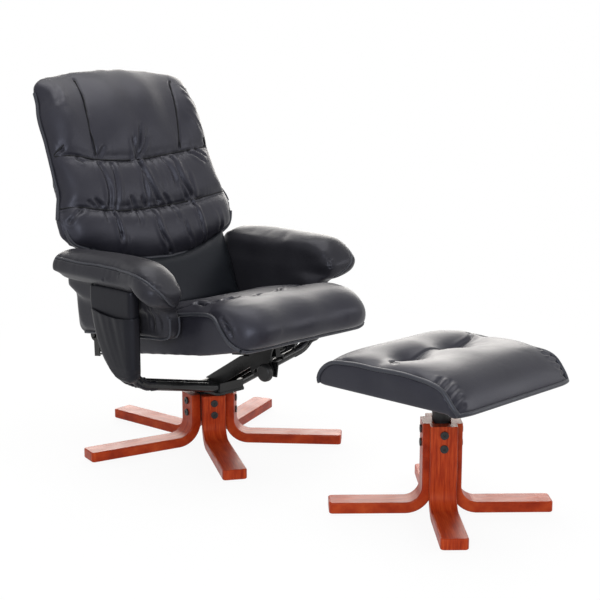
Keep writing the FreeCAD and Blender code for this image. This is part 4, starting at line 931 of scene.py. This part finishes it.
STOOL_SIDE_RIM = [(-594, 303), (-597, 327), (-610, 344), (-632, 361), (-687, 370), (-776, 371),
                  (-861, 373), (-928, 365), (-956, 355), (-980, 329), (-1004, 308)]
STOOL_SEAM = [(-210, -776), (-150, -768), (-76, -757), (0, -757), (76, -757), (150, -755), (210, -752)]
STOOL_TUFTS = [(-84, -758), (74, -768)]
STOOL_RIM_X = 209
STOOL_FOLDS = [((-206, -934, 366), (-172, -928, 372)), ((-206, -952, 357), (-160, -943, 368)),
               ((-207, -968, 344), (-162, -962, 358)), ((-207, -982, 330), (-166, -977, 344)),
               ((-207, -994, 320), (-172, -990, 330))]


def make_stool():
    cushion = skin_blank("stool_cushion_leather", ["stool_cushion", "stool_board"], 0.006)
    places = places_of(cushion.data)
    x, y, z = chair_measures(places)
    front_corner = soft_step((-y - 952) / 40) * np.clip((np.abs(x) - 172) / 38, 0, 1) ** 2
    places[:, 1] += front_corner * 0.016
    put_places(cushion.data, places)
    skin = surface(cushion.data)
    seam = from_above(skin, STOOL_SEAM)
    hold = np.maximum(soft_step((312 - z) / 8), held_along(places, [seam], 0.005))
    plump(cushion, hold, 0.002, 0.022, 10)
    refined(cushion)
    skin = surface(cushion.data)
    places = places_of(cushion.data)
    x, y, z = chair_measures(places)
    seam = from_above(skin, STOOL_SEAM)
    relief = seam_relief(places, seam, 0.003, 0.005)
    for pleat in (STOOL_SEAM[:3], STOOL_SEAM[-3:]):
        relief += fold_relief(places, from_above(skin, pleat), 0.0035, 0.0045)
    for tuft_x, tuft_y in STOOL_TUFTS:
        away = np.hypot(x - tuft_x, (y - tuft_y) * 1.5)
        relief -= (0.009 * np.exp(-(away / 36) ** 2) + 0.009 * np.exp(-(away / 12) ** 2)) * (z > 320)
    for side in (1, -1):
        for ends in STOOL_FOLDS:
            line = short_fold(skin, ends, side)
            relief += fold_relief(places, line, 0.0045, 0.0042, [line[:2]])
    board = (np.abs(x) < 166) & (np.abs(y + 792) < 166) & (z < 312)
    raise_skin(cushion, np.where(board, -0.003, relief), 0.026)
    leathered(cushion, "stool_top", ["stool_cushion"], LEATHER)
    skin = surface(cushion.data)
    rims = [[at(side * STOOL_RIM_X, y, z) for y, z in STOOL_SIDE_RIM] for side in (-1, 1)]
    across = range(-STOOL_RIM_X, STOOL_RIM_X + 1, 19)
    ends = [[at(x, y, z) for x in across] for y, z in ((-1005, 309), (-594, 320))]
    lines = [raised(skin, eased(line), WELT_LIFT) for line in rims + ends]
    along_paths("stool_welts", WELT_TREE, lines, "stool_top", Radius=0.0050, Finish=WELT_PAINTED_HIGHLIGHT)
    rows = [raised(skin, from_above(skin, [(x, y + d) for x, y in STOOL_SEAM]), 0.0003) for d in (-5, 5)]
    along_paths("stool_stitches", STITCH_TREE, rows, "stool_top", Pitch=STITCH_PITCH, Length=STITCH_LENGTH,
                Thread=0.0005, Finish=THREAD)


# Stage

CAMERA_LENS = 78.83
CAMERA_PLACE = (-2.3085, -2.2976, 1.0628)
CAMERA_AIM = (0.70485, 0.68299, -0.19161)


def lamp(name, place, target, size, power, colour=(1, 1, 1)):
    light = bpy.data.lights.new(name, "AREA")
    light.shape = "RECTANGLE"
    light.size, light.size_y = size
    light.energy = power
    light.color = colour
    holder = linked(name, light)
    holder.location = place
    holder.rotation_euler = (Vector(target) - Vector(place)).to_track_quat("-Z", "Y").to_euler()


def make_camera():
    lens = bpy.data.cameras.new("camera")
    lens.sensor_width = 36
    lens.lens = CAMERA_LENS
    eye = linked("camera", lens)
    eye.location = CAMERA_PLACE
    eye.rotation_euler = Vector(CAMERA_AIM).to_track_quat("-Z", "Y").to_euler()
    SCENE.camera = eye


def larger(tree, first, second):
    """Output with the larger one of two values."""
    node = tree.nodes.new("ShaderNodeMath")
    node.operation = "MAXIMUM"
    tree.links.new(first, node.inputs[0])
    tree.links.new(second, node.inputs[1])
    return node.outputs[0]


def make_surround():
    """White where the camera, gloss or glass sees it, and dimmer as a light."""
    world = bpy.data.worlds.new("white_surround")
    SCENE.world = world
    world.use_nodes = True
    nodes, links = world.node_tree.nodes, world.node_tree.links
    path = nodes.new("ShaderNodeLightPath")
    seen = larger(world.node_tree, path.outputs["Is Camera Ray"], path.outputs["Is Glossy Ray"])
    seen = larger(world.node_tree, seen, path.outputs["Is Transmission Ray"])
    strength = nodes.new("ShaderNodeMapRange")
    strength.inputs["To Min"].default_value = 0.3
    strength.inputs["To Max"].default_value = 1.0
    links.new(seen, strength.inputs["Value"])
    nodes["Background"].inputs["Color"].default_value = (1, 1, 1, 1)
    links.new(strength.outputs["Result"], nodes["Background"].inputs["Strength"])


def make_floor():
    """White paper that keeps the object's shadow and runs out into the surround."""
    shell = bmesh.new()
    bmesh.ops.create_grid(shell, x_segments=1, y_segments=1, size=12)
    floor = built("floor", shell)
    paper = bpy.data.materials.new("white_paper")
    paper.use_nodes = True
    nodes, links = paper.node_tree.nodes, paper.node_tree.links
    nodes["Principled BSDF"].inputs["Base Color"].default_value = (0.95, 0.95, 0.95, 1)
    nodes["Principled BSDF"].inputs["Roughness"].default_value = 0.9
    glow = nodes.new("ShaderNodeEmission")
    path = nodes.new("ShaderNodeLightPath")
    seen = larger(paper.node_tree, path.outputs["Is Camera Ray"], path.outputs["Is Glossy Ray"])
    share = nodes.new("ShaderNodeMath")
    share.operation = "MULTIPLY"
    ground = nodes.new("ShaderNodeTexCoord")
    far = nodes.new("ShaderNodeVectorMath")
    far.operation = "LENGTH"
    fade = nodes.new("ShaderNodeMapRange")
    fade.inputs["From Min"].default_value = 0.6
    fade.inputs["From Max"].default_value = 2.0
    fade.inputs["To Min"].default_value = 0.92
    links.new(ground.outputs["Object"], far.inputs[0])
    links.new(far.outputs["Value"], fade.inputs["Value"])
    links.new(fade.outputs["Result"], share.inputs[1])
    mix = nodes.new("ShaderNodeMixShader")
    links.new(seen, share.inputs[0])
    links.new(share.outputs[0], mix.inputs["Fac"])
    links.new(nodes["Principled BSDF"].outputs["BSDF"], mix.inputs[1])
    links.new(glow.outputs["Emission"], mix.inputs[2])
    links.new(mix.outputs["Shader"], nodes["Material Output"].inputs["Surface"])
    floor.data.materials.append(paper)


def make_lamps():
    lamp("overhead", (0.2, 0.3, 3.0), (0, 0, 0.4), (2.2, 2.2), 55, (1, 0.985, 0.95))
    lamp("far_panel", (2.5, 2.7, 1.7), (0, 0, 0.4), (4.0, 2.4), 122, (1, 0.96, 0.90))
    lamp("front_left", (-2.5, -1.9, 1.5), (0, 0, 0.5), (1.0, 1.0), 50, (0.86, 0.91, 1))
    lamp("front_right", (1.8, -2.4, 1.4), (0, 0, 0.4), (1.2, 1.2), 18)


dress_frame()
back_cushion, upright_lines = make_back_cushion()
make_lumbar()
make_back_trim(back_cushion, upright_lines, make_back_cover())
make_seat()
make_arms()
make_sleeves()
make_pocket()
make_stool()
make_camera()
make_surround()
make_floor()
make_lamps()
SCENE.view_settings.view_transform = "Standard"
